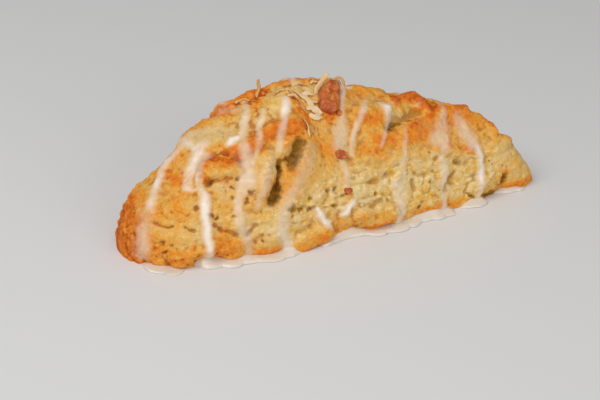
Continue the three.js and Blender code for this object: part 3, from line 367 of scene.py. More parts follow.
# Ragged edges: rows of share, wavelength and what is added to the seed.
REACH_RAGGED, HEIGHT_RAGGED = [(0.18, 4, 0), (0.14, 1.8, 3)], [(0.2, 3.4, 5), (0.1, 1.6, 9)]
LIP_RAGGED, SHRED_RAGGED = [(0.15, 3, 15)], [(0.34, 1.3, 0), (0.2, 0.6, 1)]
LIP_MOST = 0.9  # of the bank's height
EDGE_LEAST, EDGE_UNDER = 0.3, 0.12  # height at the rounded edge and just under it, as shares of the lip
TAPER_LEAST = 0.001
END_STEP = 0.2  # how far a pointed end stands out
STRAND_RISE, STRAND_RISE_MILKY = 0.3, 0.4  # of any strand, and more where it is milky
SHRED_THICK, SHRED_ROOT = 0.36, 0.1
SHRED_RINGS, SHRED_SIDES, SHRED_SEED, SHRED_SEED_STEP = 30, 12, 300, 3

# Shreds: place, heading in degrees from +X, length, half width, sideways bow, arch, the tip's height
# and how far they are browned, which is toast and, on one thin dark strip, painted shade.
SHREDS = [
    ((-3.1, 45.1), 47, 6.2, 0.85, 0.3, 0.4, 3.6, 0.2),
    ((-20.1, 49.7), 53, 5, 0.5, 0, 0.2, 2.7, 0.7),
    ((5.4, 50.8), -22, 4.4, 0.6, 1, 1.2, 0.2, 0.45),
    # Painted shade: a thin dark strip laid along the lower side of the broad pale shred that follows.
    ((-11.6, 47.4), -72, 8.5, 0.4, 0.5, 0.3, 0.2, 0.8),
    ((-10, 47.4), -60, 7.6, 0.85, 0.5, 0.5, 0.3, 0.2),
    ((-7.8, 45.2), -4, 3.2, 0.8, 0.4, 0.5, 0.4, 0.1),
    ((-6.6, 43.2), -18, 3, 0.6, -0.3, 0.4, 0.2, 0.25),
    ((-8.2, 40.9), -36, 4.8, 0.9, 0.6, 0.6, 0.3, 0.1),
    ((-8, 38.7), -20, 3.8, 0.95, -0.5, 0.6, 0.3, 0.1),
    ((-12.6, 45.4), -30, 3.6, 0.55, 1.1, 0.5, 0.2, 0.3),
    ((-9.4, 49.2), -8, 4.6, 0.7, 0.5, 0.5, 0.2, 0.4),
    ((-3.2, 49.4), -16, 3, 0.5, 0.3, 0.4, 0.3, 0.3),
    ((-10.4, 37.6), -92, 5.4, 0.34, 0.4, 0.3, 0.1, 0.35),
    ((-8.9, 37), -98, 4.6, 0.26, -0.3, 0.2, 0.1, 0.8),
    ((-7.4, 36.4), -92, 4, 0.3, 0.3, 0.2, 0.1, 0.6),
    ((-16, 47), 12, 3.6, 0.5, 0.5, 0.4, 0.2, 0.5),
    ((-26, 49.6), -8, 3.6, 0.4, 0.4, 0.3, 0.2, 0.5),
    ((-3.4, 51), 10, 3.6, 0.5, 0.3, 0.3, 0.4, 0.4),
]
# Red bits: place and radius. A lump's dents are rows of wavelength and depth, its grid rows and columns.
RED_BITS = [((-1.8, 24.9), 1.5), ((-2.1, 14.2), 1.15), ((1.2, 37.2), 1.1), ((-2, 34.6), 0.7)]
BIT_HALF, BIT_POWER, BIT_DENTS, BIT_GRID, BIT_SEED = (1.1, 0.9, 0.55), 2.8, [(1.3, 0.5)], (24, 32), 500
FRUIT = dict(at=(0.1, 42.5), half=(2.7, 5.5, 2.4), taper=0.2, turn=-36, lift=0.6, power=4,
             dents=[(3.4, 0.9), (1.5, 0.3)], seed=21, grid=(60, 80))


# ---- numbers for the fine relief, the patches' edges and the bake ----

# Noises: rows of rise, wavelength and seed.
SWELLS = [(1.0, 14, 3), (0.75, 6.5, 8)]
CLOTS = [(0.7, 3.6, 101), (0.5, 1.9, 102), (0.34, 1.0, 103)]
CLOT_SWELL = [(0.3, 2.4, 104)]
BLISTERS = [(0.3, 2.7, 111), (0.22, 1.4, 112), (0.14, 0.8, 113)]
MOTTLING = [(0.07, 8, 92), (0.09, 3, 93)]
FILM_PATCHES, STRAND_PATCHES = [(0.4, 3, 83)], [(0.3, 2.5, 87)]
# Pits: rows of depth, cell, seed, share of the cells and radius.
CAVITIES = [(0.7, 2.1, 121, 0.36, 0.5), (0.9, 4.4, 125, 0.3, 0.9)]
DIMPLES = [(0.6, 2.2, 131, 0.32, 0.5)]
GRAINS = [(0.6, 1.7, 117, 0.8, 1.05), (0.4, 1.05, 141, 0.8, 0.65)]
PIT_FLOOR = 0.25  # share of a pit's radius that lies at full depth
# Wandering edges: rows of amount, wavelength and seed.
RELIEF_EDGE = [(0.9, 4.5, 61), (0.4, 1.6, 63)]
CRUMB_EDGE = [(1.8, 5, 71), (0.9, 1.5, 73)]
HOLLOW_EDGE = [(0.6, 2, 75), (0.8, 1.1, 65)]
PORE_EDGE = [(0.6, 2, 75), (0.5, 1.1, 77)]
GLAZE_EDGE = [(0.45, 5, 81), (0.3, 1.7, 85)]
BAKE_EDGE = [(1.1, 3.5, 91), (0.8, 1.4, 95)]
# Points shaken before a noise is read: amount, wavelength and seed.
CLOT_WARP, GRAIN_WARP = (0.9, 2.6, 100), (0.3, 1.2, 116)
CLOT_STRETCH = (1, 1, 1.5)
CLOT_MIDDLE, GRAIN_MIDDLE = 0.5, 0.6  # taken off, so that crumb and crust swell about the coarse form
GRAIN_PLAIN, GRAIN_GRITTY = 0.3, 0.5  # height of grains on any crust, and more where it is gritty
# Powers of the patches' and bands' edges: a larger one makes a sharper edge.
CRUMB_FIRM, HOLLOW_FIRM, PORE_FIRM, GRITTY_FIRM, DARKER_FIRM, PALER_FIRM = 6, 3, 3, 4, 4, 3
STRAND_FIRM, FILM_FIRM = 2.6, 3
FILM_MIDDLE, FILM_OF_STRAND, FILM_OF_MILK = 0.8, 0.55, 0.5
FILM_FILLS, STRAND_FILLS = 0.6, 0.6  # share of the fine relief that glaze levels, of any and of gritty crust
# Pores sink by the first number, and by the second they count as hollows that are painted with shade.
PORE_DEPTH, PORE_SHADE = 0.8, 0.6
COARSE_FADE, FINE_FADE = 5, 1.2  # length over which the relief fades in from an end
LEAST_HEIGHT = 0.03  # of the skin between its feet
BED_ROUNDS = 6  # softening of the skin that glaze, shreds and fruit lie on
ABOVE_ROUNDS, ABOVE_FULL = 16, 0.36  # softening to stand out from, and the height that counts in full
RIDGE_ROUNDS, RIDGE_FULL = 60, 1.2
PLAIN_TONE, RIDGE_TONE, FAR_TONE, FOOT_TONE = 0.4, 0.12, 0.12, 0.06
FAR_SIDE = (0.5, 0.62)  # share of the girth at which the far side's tone begins and is full
FOOT_EDGE = (2.5, 0.3)  # distance from a foot at which its tone begins and is full
# Marks of the skin and what each is on the flat base.
UNDERSIDE = dict(bake=0.7, crumb=0.0, film=0.0, milk=0.0, hollow=0.0, gritty=0.0, above=0.0)


# ---- working out surfaces ----

LATTICE_PHASES = (127.1, 311.7, 74.7, 19.19)  # phase of the lattice's sine for a step in x, y, z, seed
LATTICE_GAIN = 43758.5453
LINE_APART = 0.37  # keeps lines of different seeds apart
TINY = 1e-9  # keeps a division by a length from failing where the length is nothing


def ease(a, b, v):
    """Smooth rise from 0 at a to 1 at b: 3 t^2 - 2 t^3."""
    t = np.clip((v - a) / (b - a), 0, 1)
    return t * t * (3 - 2 * t)


def lattice(i, j, k, seed):
    """A repeatable number from 0 to 1 for a lattice point: the fraction of a large sine."""
    of_i, of_j, of_k, of_seed = LATTICE_PHASES
    s = np.sin(i * of_i + j * of_j + k * of_k + seed * of_seed) * LATTICE_GAIN
    return s - np.floor(s)


def noise(p, wave, seed):
    """Smooth noise from -1 to 1: lattice numbers blended over the cube round each point of p."""
    q = np.asarray(p, float) / wave
    low = np.floor(q)
    f = ease(0, 1, q - low)
    total = 0
    for di, dj, dk in np.ndindex(2, 2, 2):
        share = np.abs(1 - di - f[..., 0]) * np.abs(1 - dj - f[..., 1]) * np.abs(1 - dk - f[..., 2])
        total = total + share * lattice(low[..., 0] + di, low[..., 1] + dj, low[..., 2] + dk, seed)
    return 2 * total - 1


def line_noise(t, wave, seed):
    """Smooth noise from -1 to 1 along a line."""
    t = np.asarray(t, float)
    return noise(np.stack([t, 0 * t + LINE_APART * seed, 0 * t], -1), wave, seed)


def waves(p, rows, fold=np.positive):
    """Sum of rise times noise over rows of rise, wavelength and seed; folded by abs, it creases."""
    return sum(rise * fold(noise(p, wave, seed)) for rise, wave, seed in rows)


def warped(p, amount, wave, seed, stretch=1):
    """Points stretched, and moved by one noise along all three axes."""
    return p * stretch + amount * noise(p, wave, seed)[..., None]


def pits(p, cell, seed, share, radius):
    """Depth from 0 to 1 of scattered round pits: nearness to a jittered point in each lattice cell,
    counted only in the given share of the cells."""
    q = np.asarray(p, float) / cell
    low = np.floor(q)
    depth = np.zeros(q.shape[:-1])
    for step in np.ndindex(3, 3, 3):
        i, j, k = (low[..., n] + step[n] - 1 for n in range(3))
        away = np.sqrt((i + lattice(i, j, k, seed) - q[..., 0]) ** 2
                       + (j + lattice(i, j, k, seed + 1) - q[..., 1]) ** 2
                       + (k + lattice(i, j, k, seed + 2) - q[..., 2]) ** 2)
        size = radius * (0.5 + lattice(i, j, k, seed + 3)) / cell
        there = lattice(i, j, k, seed + 4) < share
        depth = np.maximum(depth, np.where(there, ease(1, PIT_FLOOR, away / size), 0))
    return depth


def scattered(p, rows):
    """Sum of depth times pits over rows of depth, cell, seed, share of the cells and radius."""
    return sum(depth * pits(p, cell, seed, share, radius) for depth, cell, seed, share, radius in rows)


def unit(v):
    """Vectors brought to length 1."""
    return v / np.maximum(np.linalg.norm(v, axis=-1, keepdims=True), TINY)


def along_stations(x, column):
    """A cubic through the stations' values, with slopes from the neighbours."""
    xs, ys = STATIONS[:, 0], STATIONS[:, column]
    slope = np.gradient(ys, xs)
    i = np.clip(np.searchsorted(xs, x) - 1, 0, len(xs) - 2)
    h = xs[i + 1] - xs[i]
    t = (x - xs[i]) / h
    return ((2 * t**3 - 3 * t**2 + 1) * ys[i] + (t**3 - 2 * t**2 + t) * h * slope[i]
            + (3 * t**2 - 2 * t**3) * ys[i + 1] + (t**3 - t**2) * h * slope[i + 1])


def smooth_wedge(x, share):
    """Points (rings, columns, 3) of the plain wedge and the girth of each ring. A section is a
    superellipse between its front and back feet whose height falls from the crown to the rims
    by a power, and it narrows to nothing over the rounded ends. The columns lie at the given
    shares of the girth."""
    front, back, height = (along_stations(x, c)[:, None] for c in (1, 2, 3))
    blunt = 1 - np.clip((x - LEFT) / BLUNT_END, 0, 1)[:, None]
    sharp = 1 - np.clip((RIGHT - x) / SHARP_END, 0, 1)[:, None]
    rise = np.sqrt(1 - blunt**2) * np.sqrt(1 - sharp**2)
    spread = (1 - blunt**END_POWER) ** (1 / END_POWER) * np.sqrt(1 - sharp**2)
    turn = np.linspace(-1, 1, SECTION_STEPS + 1)[None]
    across = np.sign(turn) * np.sin(np.pi / 2 * np.abs(turn)) ** (2 / CORNER_POWER)
    up = np.clip(np.cos(np.pi / 2 * turn), 0, 1) ** (2 / CORNER_POWER)
    near = across < CROWN_PLACE
    side = np.where(near, (CROWN_PLACE - across) / (1 + CROWN_PLACE),
                    (across - CROWN_PLACE) / (1 - CROWN_PLACE))
    rims = [np.minimum(base + part * height, most * height) for base, part, most in (FRONT_RIM, BACK_RIM)]
    y = (front + back) / 2 + (back - front) / 2 * spread * across
    z = (height - (height - np.where(near, *rims)) * side**CROWN_FALL) * up * rise
    g = np.cumsum(np.hypot(np.diff(y, axis=1), np.diff(z, axis=1)), axis=1)
    g = np.concatenate([np.zeros((len(x), 1)), g], axis=1)
    made = np.empty((len(x), len(share), 3))
    for ring, place in enumerate(x):
        places = share * g[ring, -1]
        made[ring, :, 0] = place
        made[ring, :, 1] = np.interp(places, g[ring], y[ring])
        made[ring, :, 2] = np.interp(places, g[ring], z[ring])
    return made, g[:, -1]


def normals_of(points):
    """Unit normals of a grid of points: the cross product of its two directions, turned outwards."""
    return unit(np.cross(np.gradient(points, axis=0), np.gradient(points, axis=1)))


def nearest_on(x, g, start, end):
    """Where a straight piece comes nearest to surface places, from 0 at its start to 1 at its end,
    and the distance there."""
    (ax, ag), (bx, bg) = start, end
    length = max((bx - ax) ** 2 + (bg - ag) ** 2, TINY)
    t = np.clip(((x - ax) * (bx - ax) + (g - ag) * (bg - ag)) / length, 0, 1)
    return t, np.hypot(x - ax - t * (bx - ax), g - ag - t * (bg - ag))


def distance_to_run(x, g, run):
    """Distance from surface places to the nearest piece of a run of places, or to a single place."""
    nearest = np.full(np.shape(x), np.inf)
    for start, end in zip(run, run[1:] or run):
        nearest = np.minimum(nearest, nearest_on(x, g, start, end)[1])
    return nearest


def cover(x, g, rows, firm):
    """Patches round runs of places: the largest of share times exp(-(distance / half width)^firm)."""
    total = np.zeros(np.shape(x))
    for run, half, share in rows:
        d = distance_to_run(x, g, run) / half
        total = np.maximum(total, share * np.exp(-(d**firm)))
    return total


def band_cover(x, g, bands, firm):
    """Cover by bands whose half width and share change from point to point along each run: the
    largest of exp(-(distance / half width)^firm), alone and times the share."""
    alone, shared = np.zeros(np.shape(x)), np.zeros(np.shape(x))
    for run in bands:
        for start, end in zip(run, run[1:]):
            t, d = nearest_on(x, g, start[:2], end[:2])
            half, share = (start[n] + (end[n] - start[n]) * t for n in (2, 3))
            near = np.exp(-((d / half) ** firm))
            alone = np.maximum(alone, near)
            shared = np.maximum(shared, near * share)
    return alone, shared


def soften(a, times):
    """A grid averaged with its neighbours (1-2-1 along both directions), several times over."""
    for _ in range(times):
        padded = np.concatenate([a[:1], a, a[-1:]], axis=0)
        a = (padded[:-2] + 2 * padded[1:-1] + padded[2:]) / 4
        padded = np.concatenate([a[:, :1], a, a[:, -1:]], axis=1)
        a = (padded[:, :-2] + 2 * padded[:, 1:-1] + padded[:, 2:]) / 4
    return a


def soften_row(a, times):
    """The same along one row of values or of points."""
    return soften(a[:, None], times)[:, 0]


def ring_places(count):
    """Places along X: evenly spaced, and closer together where an end rounds off."""
    blunt, sharp = round(count * BLUNT_SHARE), round(count * SHARP_SHARE)
    left = LEFT + BLUNT_END * (1 - np.cos(np.pi / 2 * np.arange(1, blunt + 1) / blunt))
    right = RIGHT - SHARP_END * (1 - np.cos(np.pi / 2 * np.arange(sharp, 0, -1) / sharp))
    middle = np.linspace(left[-1], right[0], count - blunt - sharp + 1)[1:-1]
    return np.concatenate([left, middle, right])


# ---- meshes ----

def put_mesh(name, points, faces, marks, material):
    """A smooth mesh object at the origin from points in mm, faces and per-point values."""
    mesh = bpy.data.meshes.new(name)
    mesh.from_pydata((points * MM).tolist(), [], faces)
    mesh.polygons.foreach_set("use_smooth", np.full(len(mesh.polygons), True))
    for mark, values in marks.items():
        layer = mesh.attributes.new(mark, "FLOAT", "POINT")
        layer.data.foreach_set("value", np.asarray(values, np.float32).ravel())
    mesh.update()
    mesh.materials.append(material)
    piece = bpy.data.objects.new(name, mesh)
    bpy.context.scene.collection.objects.link(piece)
    return piece


def volume_of(points, quads):
    """Signed volume inside closed quads, which is above 0 where they face outwards."""
    a, b, c, d = (points[quads[:, n]] for n in range(4))
    return (np.einsum("ij,ij->i", a, np.cross(b, c)) + np.einsum("ij,ij->i", a, np.cross(c, d))).sum() / 6


def loft(rings, start, end, marks):
    """Points, faces and marks of a closed surface: rings (m, k, 3) joined by quads all round and
    by a fan to one point at each end, turned so that it faces outwards."""
    m, k = rings.shape[:2]
    points = np.concatenate([rings.reshape(-1, 3), [start, end]])
    ring, side = np.meshgrid(np.arange(m - 1), np.arange(k), indexing="ij")
    here, there = (ring * k + side).ravel(), (ring * k + (side + 1) % k).ravel()
    quads = np.stack([here, there, there + k, here + k], -1)
    fans = []
    for pole, first, order in ((m * k, 0, 1), (m * k + 1, (m - 1) * k, -1)):
        s = np.arange(k)
        fan = np.stack([np.full(k, pole), first + (s + 1) % k, first + s], -1)
        fans.append(fan[:, ::order])
    if volume_of(points, quads) < 0:
        quads = quads[:, ::-1]
        fans = [fan[:, ::-1] for fan in fans]
    faces = quads.tolist() + fans[0].tolist() + fans[1].tolist()
    kept = {}
    for mark, values in marks.items():
        kept[mark] = np.concatenate([np.ravel(values), [np.mean(values[0]), np.mean(values[-1])]])
    return points, faces, kept


def joined_lofts(name, lofts, material):
    """Several closed lofts in one mesh object, each its own shell."""
    points, faces, marks, first = [], [], {}, 0
    for some_points, some_faces, some_marks in lofts:
        points.append(some_points)
        faces += [[v + first for v in face] for face in some_faces]
        for mark, values in some_marks.items():
            marks.setdefault(mark, []).append(values)
        first += len(some_points)
    marks = {mark: np.concatenate(values) for mark, values in marks.items()}
    return put_mesh(name, np.concatenate(points), faces, marks, material)


# ---- the baked wedge ----

class Crust:
    """The scone's skin on its grid, and places looked up on it."""

    def __init__(self):
        self.x = ring_places(RINGS)
        t = np.linspace(0, 1, COLUMNS)
        self.share = FRONT_CLOSER * t + (1 - FRONT_CLOSER) * t**2
        self.plain, self.girth = smooth_wedge(self.x, self.share)
        self.normal = normals_of(self.plain)
        self.g = self.share[None] * self.girth[:, None]
        self.mark_patches()
        self.raise_skin()
        self.work_out_bake()
        self.glaze_bed = soften(self.skin, BED_ROUNDS)
        self.bed_normal = normals_of(self.glaze_bed)

    def wandered(self, *shifts):
        """Surface places shifted by noises of amount, wavelength and seed, for uneven edges."""
        x, g = self.plain[..., 0], self.g
        for amount, wave, seed in shifts:
            x = x + amount * noise(self.plain, wave, seed)
            g = g + amount * noise(self.plain, wave, seed + 1)
        return x, g

    def mark_patches(self):
        """Shares of open crumb, of hollow painted with shade, of pore and of grit at each place."""
        self.crumb = cover(*self.wandered(*CRUMB_EDGE), CRUMB, CRUMB_FIRM)
        pores = [([at], radius, 1) for at, radius in PORES]
        self.pore = cover(*self.wandered(*PORE_EDGE), pores, PORE_FIRM)
        hollow = cover(*self.wandered(*HOLLOW_EDGE), SHADED_HOLLOWS, HOLLOW_FIRM)
        self.hollow = np.maximum(hollow, PORE_SHADE * self.pore)
        self.gritty = cover(*self.wandered(*GLAZE_EDGE), GRITTY, GRITTY_FIRM)

    def coarse_relief(self):
        """The dough's swells and the named relief: rise times exp(-(distance / half width)^firm)."""
        x, g = self.wandered(*RELIEF_EDGE)
        coarse = waves(self.plain, SWELLS)
        for run, half, rise, firm in RELIEF:
            d = distance_to_run(x, g, run) / half
            coarse = coarse + rise * np.exp(-(d**firm))
        return coarse

    def fine_relief(self):
        """Clots and cavities in the crumb, blisters, grains and dimples in the crust."""
        p = self.plain
        flat = warped(p, *CLOT_WARP, stretch=CLOT_STRETCH)
        clots = waves(flat, CLOTS, np.abs) + waves(p, CLOT_SWELL) - CLOT_MIDDLE
        crumb = clots - scattered(flat, CAVITIES)
        grains = scattered(warped(p, *GRAIN_WARP), GRAINS) - GRAIN_MIDDLE
        blisters = waves(p, BLISTERS) + grains * (GRAIN_PLAIN + GRAIN_GRITTY * self.gritty)
        return self.crumb * crumb + (1 - self.crumb) * (blisters - scattered(p, DIMPLES))

    def lay_glaze(self):
        """Share run over by strands of glaze and how high they stand. It also keeps the milkiness
        and the film, which is the glaze soaked in or run over each place."""
        p = self.plain
        x, g = self.wandered(*GLAZE_EDGE)
        run_over, self.milk = band_cover(x, g, STRANDS + DABS + far_strand_runs(self), STRAND_FIRM)
        soaked = band_cover(x, g, FILMS, FILM_FIRM)[1] * (FILM_MIDDLE + waves(p, FILM_PATCHES))
        self.film = np.maximum(soaked, run_over * (FILM_OF_STRAND + FILM_OF_MILK * self.milk))
        milky = STRAND_RISE_MILKY * self.milk * (1 + waves(p, STRAND_PATCHES))
        return run_over, STRAND_RISE * run_over + milky

    def raise_skin(self):
        """The skin: the plain wedge moved along its normal by the coarse relief and by the fine one,
        which glaze fills in part. Both fade out at the ends, and the feet stay on the plate."""
        run_over, glaze = self.lay_glaze()
        fine = self.fine_relief() * (1 - FILM_FILLS * self.film)
        fine = fine * (1 - STRAND_FILLS * run_over * self.gritty) - PORE_DEPTH * self.pore + glaze
        in_from_end = np.minimum(self.x - LEFT, RIGHT - self.x)[:, None]
        coarse = self.coarse_relief() * ease(0, COARSE_FADE, in_from_end)
        off = coarse + fine * ease(0, FINE_FADE, in_from_end)
        self.skin = self.plain + self.normal * off[..., None]
        self.skin[:, [0, -1], 2] = 0
        self.skin[:, 1:-1, 2] = np.maximum(self.skin[:, 1:-1, 2], LEAST_HEIGHT)
        # How far the skin stands above its softened self: the finish darkens sunk places and pales raised
        # grit by it, as painted shade and painted light.
        self.above = np.clip((off - soften(off, ABOVE_ROUNDS)) / ABOVE_FULL, -1, 1)
        self.ridge = np.clip((off - soften(off, RIDGE_ROUNDS)) / RIDGE_FULL, -1, 1)

    def work_out_bake(self):
        """Tone of the bake from 0, pale crumb, to 1, dark brown: the named patches, darker on
        ridges, at the foot and over the far side, with uneven mottling."""
        x, g = self.wandered(*BAKE_EDGE)
        tone = PLAIN_TONE + cover(x, g, DARKER, DARKER_FIRM) - cover(x, g, PALER, PALER_FIRM)
        far = ease(*FAR_SIDE, self.share)[None]
        foot = ease(*FOOT_EDGE, np.minimum(self.g, self.girth[:, None] - self.g))
        for rise, wave, seed in MOTTLING:
            tone = tone + rise * noise(self.plain, wave, seed)
        self.bake = tone + RIDGE_TONE * self.ridge + FAR_TONE * far + FOOT_TONE * foot

    def at(self, x, g, lift=0.0):
        """Points at surface places, lifted along the normal, by blending between grid points."""
        x = np.clip(x, self.x[0], self.x[-1])
        i = np.interp(x, self.x, np.arange(len(self.x)))
        j = np.interp(g / self.girth_at(x), self.share, np.arange(COLUMNS))
        i0 = np.clip(i.astype(int), 0, len(self.x) - 2)
        j0 = np.clip(j.astype(int), 0, COLUMNS - 2)
        fi, fj = (i - i0)[..., None], (j - j0)[..., None]

        def blend(values):
            near = values[i0, j0] * (1 - fj) + values[i0, j0 + 1] * fj
            far = values[i0 + 1, j0] * (1 - fj) + values[i0 + 1, j0 + 1] * fj
            return near * (1 - fi) + far * fi

        normal = unit(blend(self.bed_normal))
        return blend(self.glaze_bed) + normal * np.asarray(lift)[..., None], normal

    def girth_at(self, x):
        """Girth at places along X."""
        return np.interp(x, self.x, self.girth)


def wedge_piece(crust, material):
    """The baked wedge: each ring runs over the crust and back across the flat base."""
    front, back = crust.skin[:, :1], crust.skin[:, -1:]
    t = (np.arange(1, BASE_COLUMNS + 1) / (BASE_COLUMNS + 1))[None, :, None]
    rings = np.concatenate([crust.skin, back + (front - back) * t], axis=1)
    marks = {}
    for mark, value in UNDERSIDE.items():
        under = np.full((len(crust.x), BASE_COLUMNS), value)
        marks[mark] = np.concatenate([getattr(crust, mark), under], axis=1)
    start, end = ([row[0], (row[1] + row[2]) / 2, 0] for row in (STATIONS[0], STATIONS[-1]))
    return put_mesh("baked_wedge", *loft(rings, start, end, marks), material)


# ---- glaze ----

def wobble(t, seed):
    """One number from -1 to 1 that changes smoothly with t."""
    return float(line_noise(t, 1, seed))


def far_strand_runs(crust):
    """Strands of the far side: from just past the crown to the foot, leaning like those in front,
    with their places, lengths, widths and milkiness shifted by line noises."""
    f = FAR_STRANDS
    runs = []
    for n in range(f["count"]):
        x = f["first"] + (f["last"] - f["first"]) * n / (f["count"] - 1) + 3 * wobble(n * 1.7, 41)
        run = []
        for t in (0, 0.34, 0.67, 1):
            there = x + f["lean"] * (0.5 - t) + 1.6 * wobble(n * 2.3 + t * 3, 43)
            share = f["start"] + (f["end"] - f["start"]) * t
            share -= 0.12 * (1 - t) * abs(wobble(n * 3.1, 47))
            half = f["half"] * (1 + 0.3 * wobble(n * 4.3 + t * 5, 49))
            milk = 0.65 + 0.2 * wobble(n * 5.7 + t * 4, 53)
            run.append((there, share * float(crust.girth_at(there)), half, milk))
        runs.append(run)
    return runs


def uneven(s, seed, rows):
    """1 and a sum of line noises over rows of share, wavelength and what is added to the seed."""
    return sum((share * line_noise(s, wave, seed + more) for share, wave, more in rows), 1)


def foot_loft(crust, side, rows, seed):
    """A bank of glaze along the foot. Outwards, r from 0 at the crust to 1 at the edge, it falls in
    a hollow curve to a lip and rounds off: z = (lip + (height - lip) * (1 - r)^2) * (1 - r^7)^0.5."""
    table = np.array(rows)
    x = np.linspace(table[0, 0], table[-1, 0], FOOT_SAMPLES)
    foot = 0 * x if side == "front" else crust.girth_at(x)
    spots = soften_row(crust.at(x, foot)[0], FOOT_LINE_ROUNDS)
    length = np.concatenate([[0], np.cumsum(np.linalg.norm(np.diff(spots, axis=0), axis=1))])
    s = np.linspace(0, length[-1], int(length[-1] / FOOT_STEP))
    x = np.interp(s, length, x)
    spots = np.stack([np.interp(s, length, column) for column in spots.T], -1)
    way = unit(np.gradient(spots, axis=0))
    out = np.stack([way[:, 1], -way[:, 0], 0 * s], -1) * (1 if side == "front" else -1)
    taper = np.sqrt(np.clip(np.minimum(s, s[-1] - s) / FOOT_TAPER, TAPER_LEAST, 1))
    reach, high = (soften_row(np.interp(x, table[:, 0], table[:, n]), FOOT_ROW_ROUNDS) for n in (1, 2))
    reach = reach * uneven(s, seed, REACH_RAGGED) * taper
    high = high * taper * uneven(s, seed, HEIGHT_RAGGED)
    lip = np.minimum(FOOT_LIP * taper * uneven(s, seed, LIP_RAGGED), LIP_MOST * high)
    r = np.concatenate([FOOT_OVER, FOOT_UNDER])
    top = np.arange(len(r)) < len(FOOT_OVER)
    inner = np.clip(r, 0, 1)[None]
    reach_at = np.where(r[None] > 0, r[None] * reach[:, None], r[None] * FOOT_INSIDE)
    z = (lip[:, None] + (high - lip)[:, None] * (1 - inner) ** 2) * np.sqrt(np.clip(1 - inner**7, 0, 1))
    z = np.where(top[None], np.maximum(z, EDGE_LEAST * lip[:, None]), 0.0)
    z[:, len(FOOT_OVER)] = EDGE_UNDER * lip
    points = spots[:, None] + out[:, None] * reach_at[..., None]
    points[..., 2] = z
    ends = [(spots[n] + way[n] * step) * (1, 1, 0) for n, step in ((0, -END_STEP), (-1, END_STEP))]
    return loft(points, *ends, dict(veil=np.where(top[None], 1.0, FOOT_UNDER_VEIL) * np.ones_like(z)))


# ---- shreds, red bits and fruit ----

def squarish(v, power):
    """A sine or cosine drawn towards 1, which makes a circle squarish: its power, with its sign."""
    return np.sign(v) * np.abs(v) ** power


def shred_loft(crust, at, heading, length, half, bow, arch, tip, toast, seed):
    """A shred: a strip with rounded, uneven edges that leaves the crust, arches, bends and twists."""
    t = np.linspace(0, 1, SHRED_RINGS)
    angle = np.radians(heading)
    aside = bow * np.sin(np.pi * t) + 0.15 * np.sin(TAU * (t * 1.7 + at[0]))
    x = at[0] + length * t * np.cos(angle) - aside * np.sin(angle)
    g = at[1] + length * t * np.sin(angle) + aside * np.cos(angle)
    spots, normal = crust.at(x, g, SHRED_ROOT + arch * np.sin(np.pi * t) + tip * t**2)
    ahead = unit(np.gradient(spots, axis=0))
    side = unit(np.cross(ahead, normal))
    up = np.cross(side, ahead)[:, None]
    side = side[:, None]
    twist = 0.5 * np.sin(TAU * (t * 0.6 + at[1] * 0.3))[:, None, None]
    turn = np.linspace(0, TAU, SHRED_SIDES, endpoint=False)
    a, b = (squarish(v, 0.6)[None, :, None] for v in (np.cos(turn), np.sin(turn)))
    slim = (0.45 + 0.55 * np.sqrt(np.clip(np.sin(np.pi * (0.05 + 0.9 * t)), 0, 1)))[:, None, None]
    wide = half * slim * uneven(t * length, seed, SHRED_RAGGED)[:, None, None]
    thick = SHRED_THICK * (0.5 + 0.5 * half)
    across = side * np.cos(twist) + up * np.sin(twist)
    above = up * np.cos(twist) - side * np.sin(twist)
    rings = spots[:, None] + across * a * wide + above * b * thick * slim
    edge = np.maximum(np.abs(np.cos(turn))[None] ** 2, (2 * np.abs(t[:, None] - 0.5)) ** 4)
    marks = dict(edge=edge, toast=np.full(rings.shape[:2], toast))
    return loft(rings, spots[0] - ahead[0] * END_STEP, spots[-1] + ahead[-1] * END_STEP, marks)


def ball(rows, columns):
    """Unit directions on rings from pole to pole, for a rounded lump."""
    v = np.linspace(0, np.pi, rows + 2)[1:-1, None]
    u = np.linspace(0, TAU, columns, endpoint=False)[None]
    return np.stack([np.sin(v) * np.cos(u), np.sin(v) * np.sin(u), np.cos(v) + 0 * u], -1)


def lump_loft(centre, axes, half, power, dents, seed, grid, taper=0):
    """A rounded block: radius (|x|^p + |y|^p + |z|^p)^(-1/p) along each direction, stretched to
    half sizes and narrowed towards +y by the taper, with dents of smooth and of creased noise,
    turned to the given axes."""
    def shape(d):
        size = (np.abs(d) ** power).sum(-1, keepdims=True) ** (-1 / power)
        p = d * size * half
        p[..., 0] *= 1 - taper * p[..., 1] / half[1]
        for wave, depth in dents:
            creased = np.abs(noise(p, wave * 0.6, seed + 1))
            p = p + d * (depth * (noise(p, wave, seed) - 0.6 * creased))[..., None]
        return centre + p @ axes

    poles = shape(np.array([[0, 0, 1.0], [0, 0, -1.0]]))
    return loft(shape(ball(*grid)), *poles, {})


def axes_on(crust, at):
    """Middle point and axes at a surface place: along X, up the girth, off the crust."""
    point, normal = (found[0] for found in crust.at(np.array([at[0]]), np.array([at[1]])))
    along = unit(np.array([1.0, 0, 0]) - normal * normal[0])
    return point, np.stack([along, np.cross(normal, along), normal])


def bit_loft(crust, at, radius, seed):
    """A red bit: a small flat lump on the crust."""
    return lump_loft(*axes_on(crust, at), np.array(BIT_HALF) * radius, BIT_POWER, BIT_DENTS, seed, BIT_GRID)


def fruit_loft(crust):
    """The piece of dried fruit: a longer lump, lifted off the crust and turned about its normal."""
    point, (across, upwards, off) = axes_on(crust, FRUIT["at"])
    turn = np.radians(FRUIT["turn"])
    axes = np.stack([across * np.cos(turn) + upwards * np.sin(turn),
                     upwards * np.cos(turn) - across * np.sin(turn), off])
    return lump_loft(point + off * FRUIT["lift"], axes, np.array(FRUIT["half"]), FRUIT["power"],
                     FRUIT["dents"], FRUIT["seed"], FRUIT["grid"], FRUIT["taper"])


# ---- materials ----

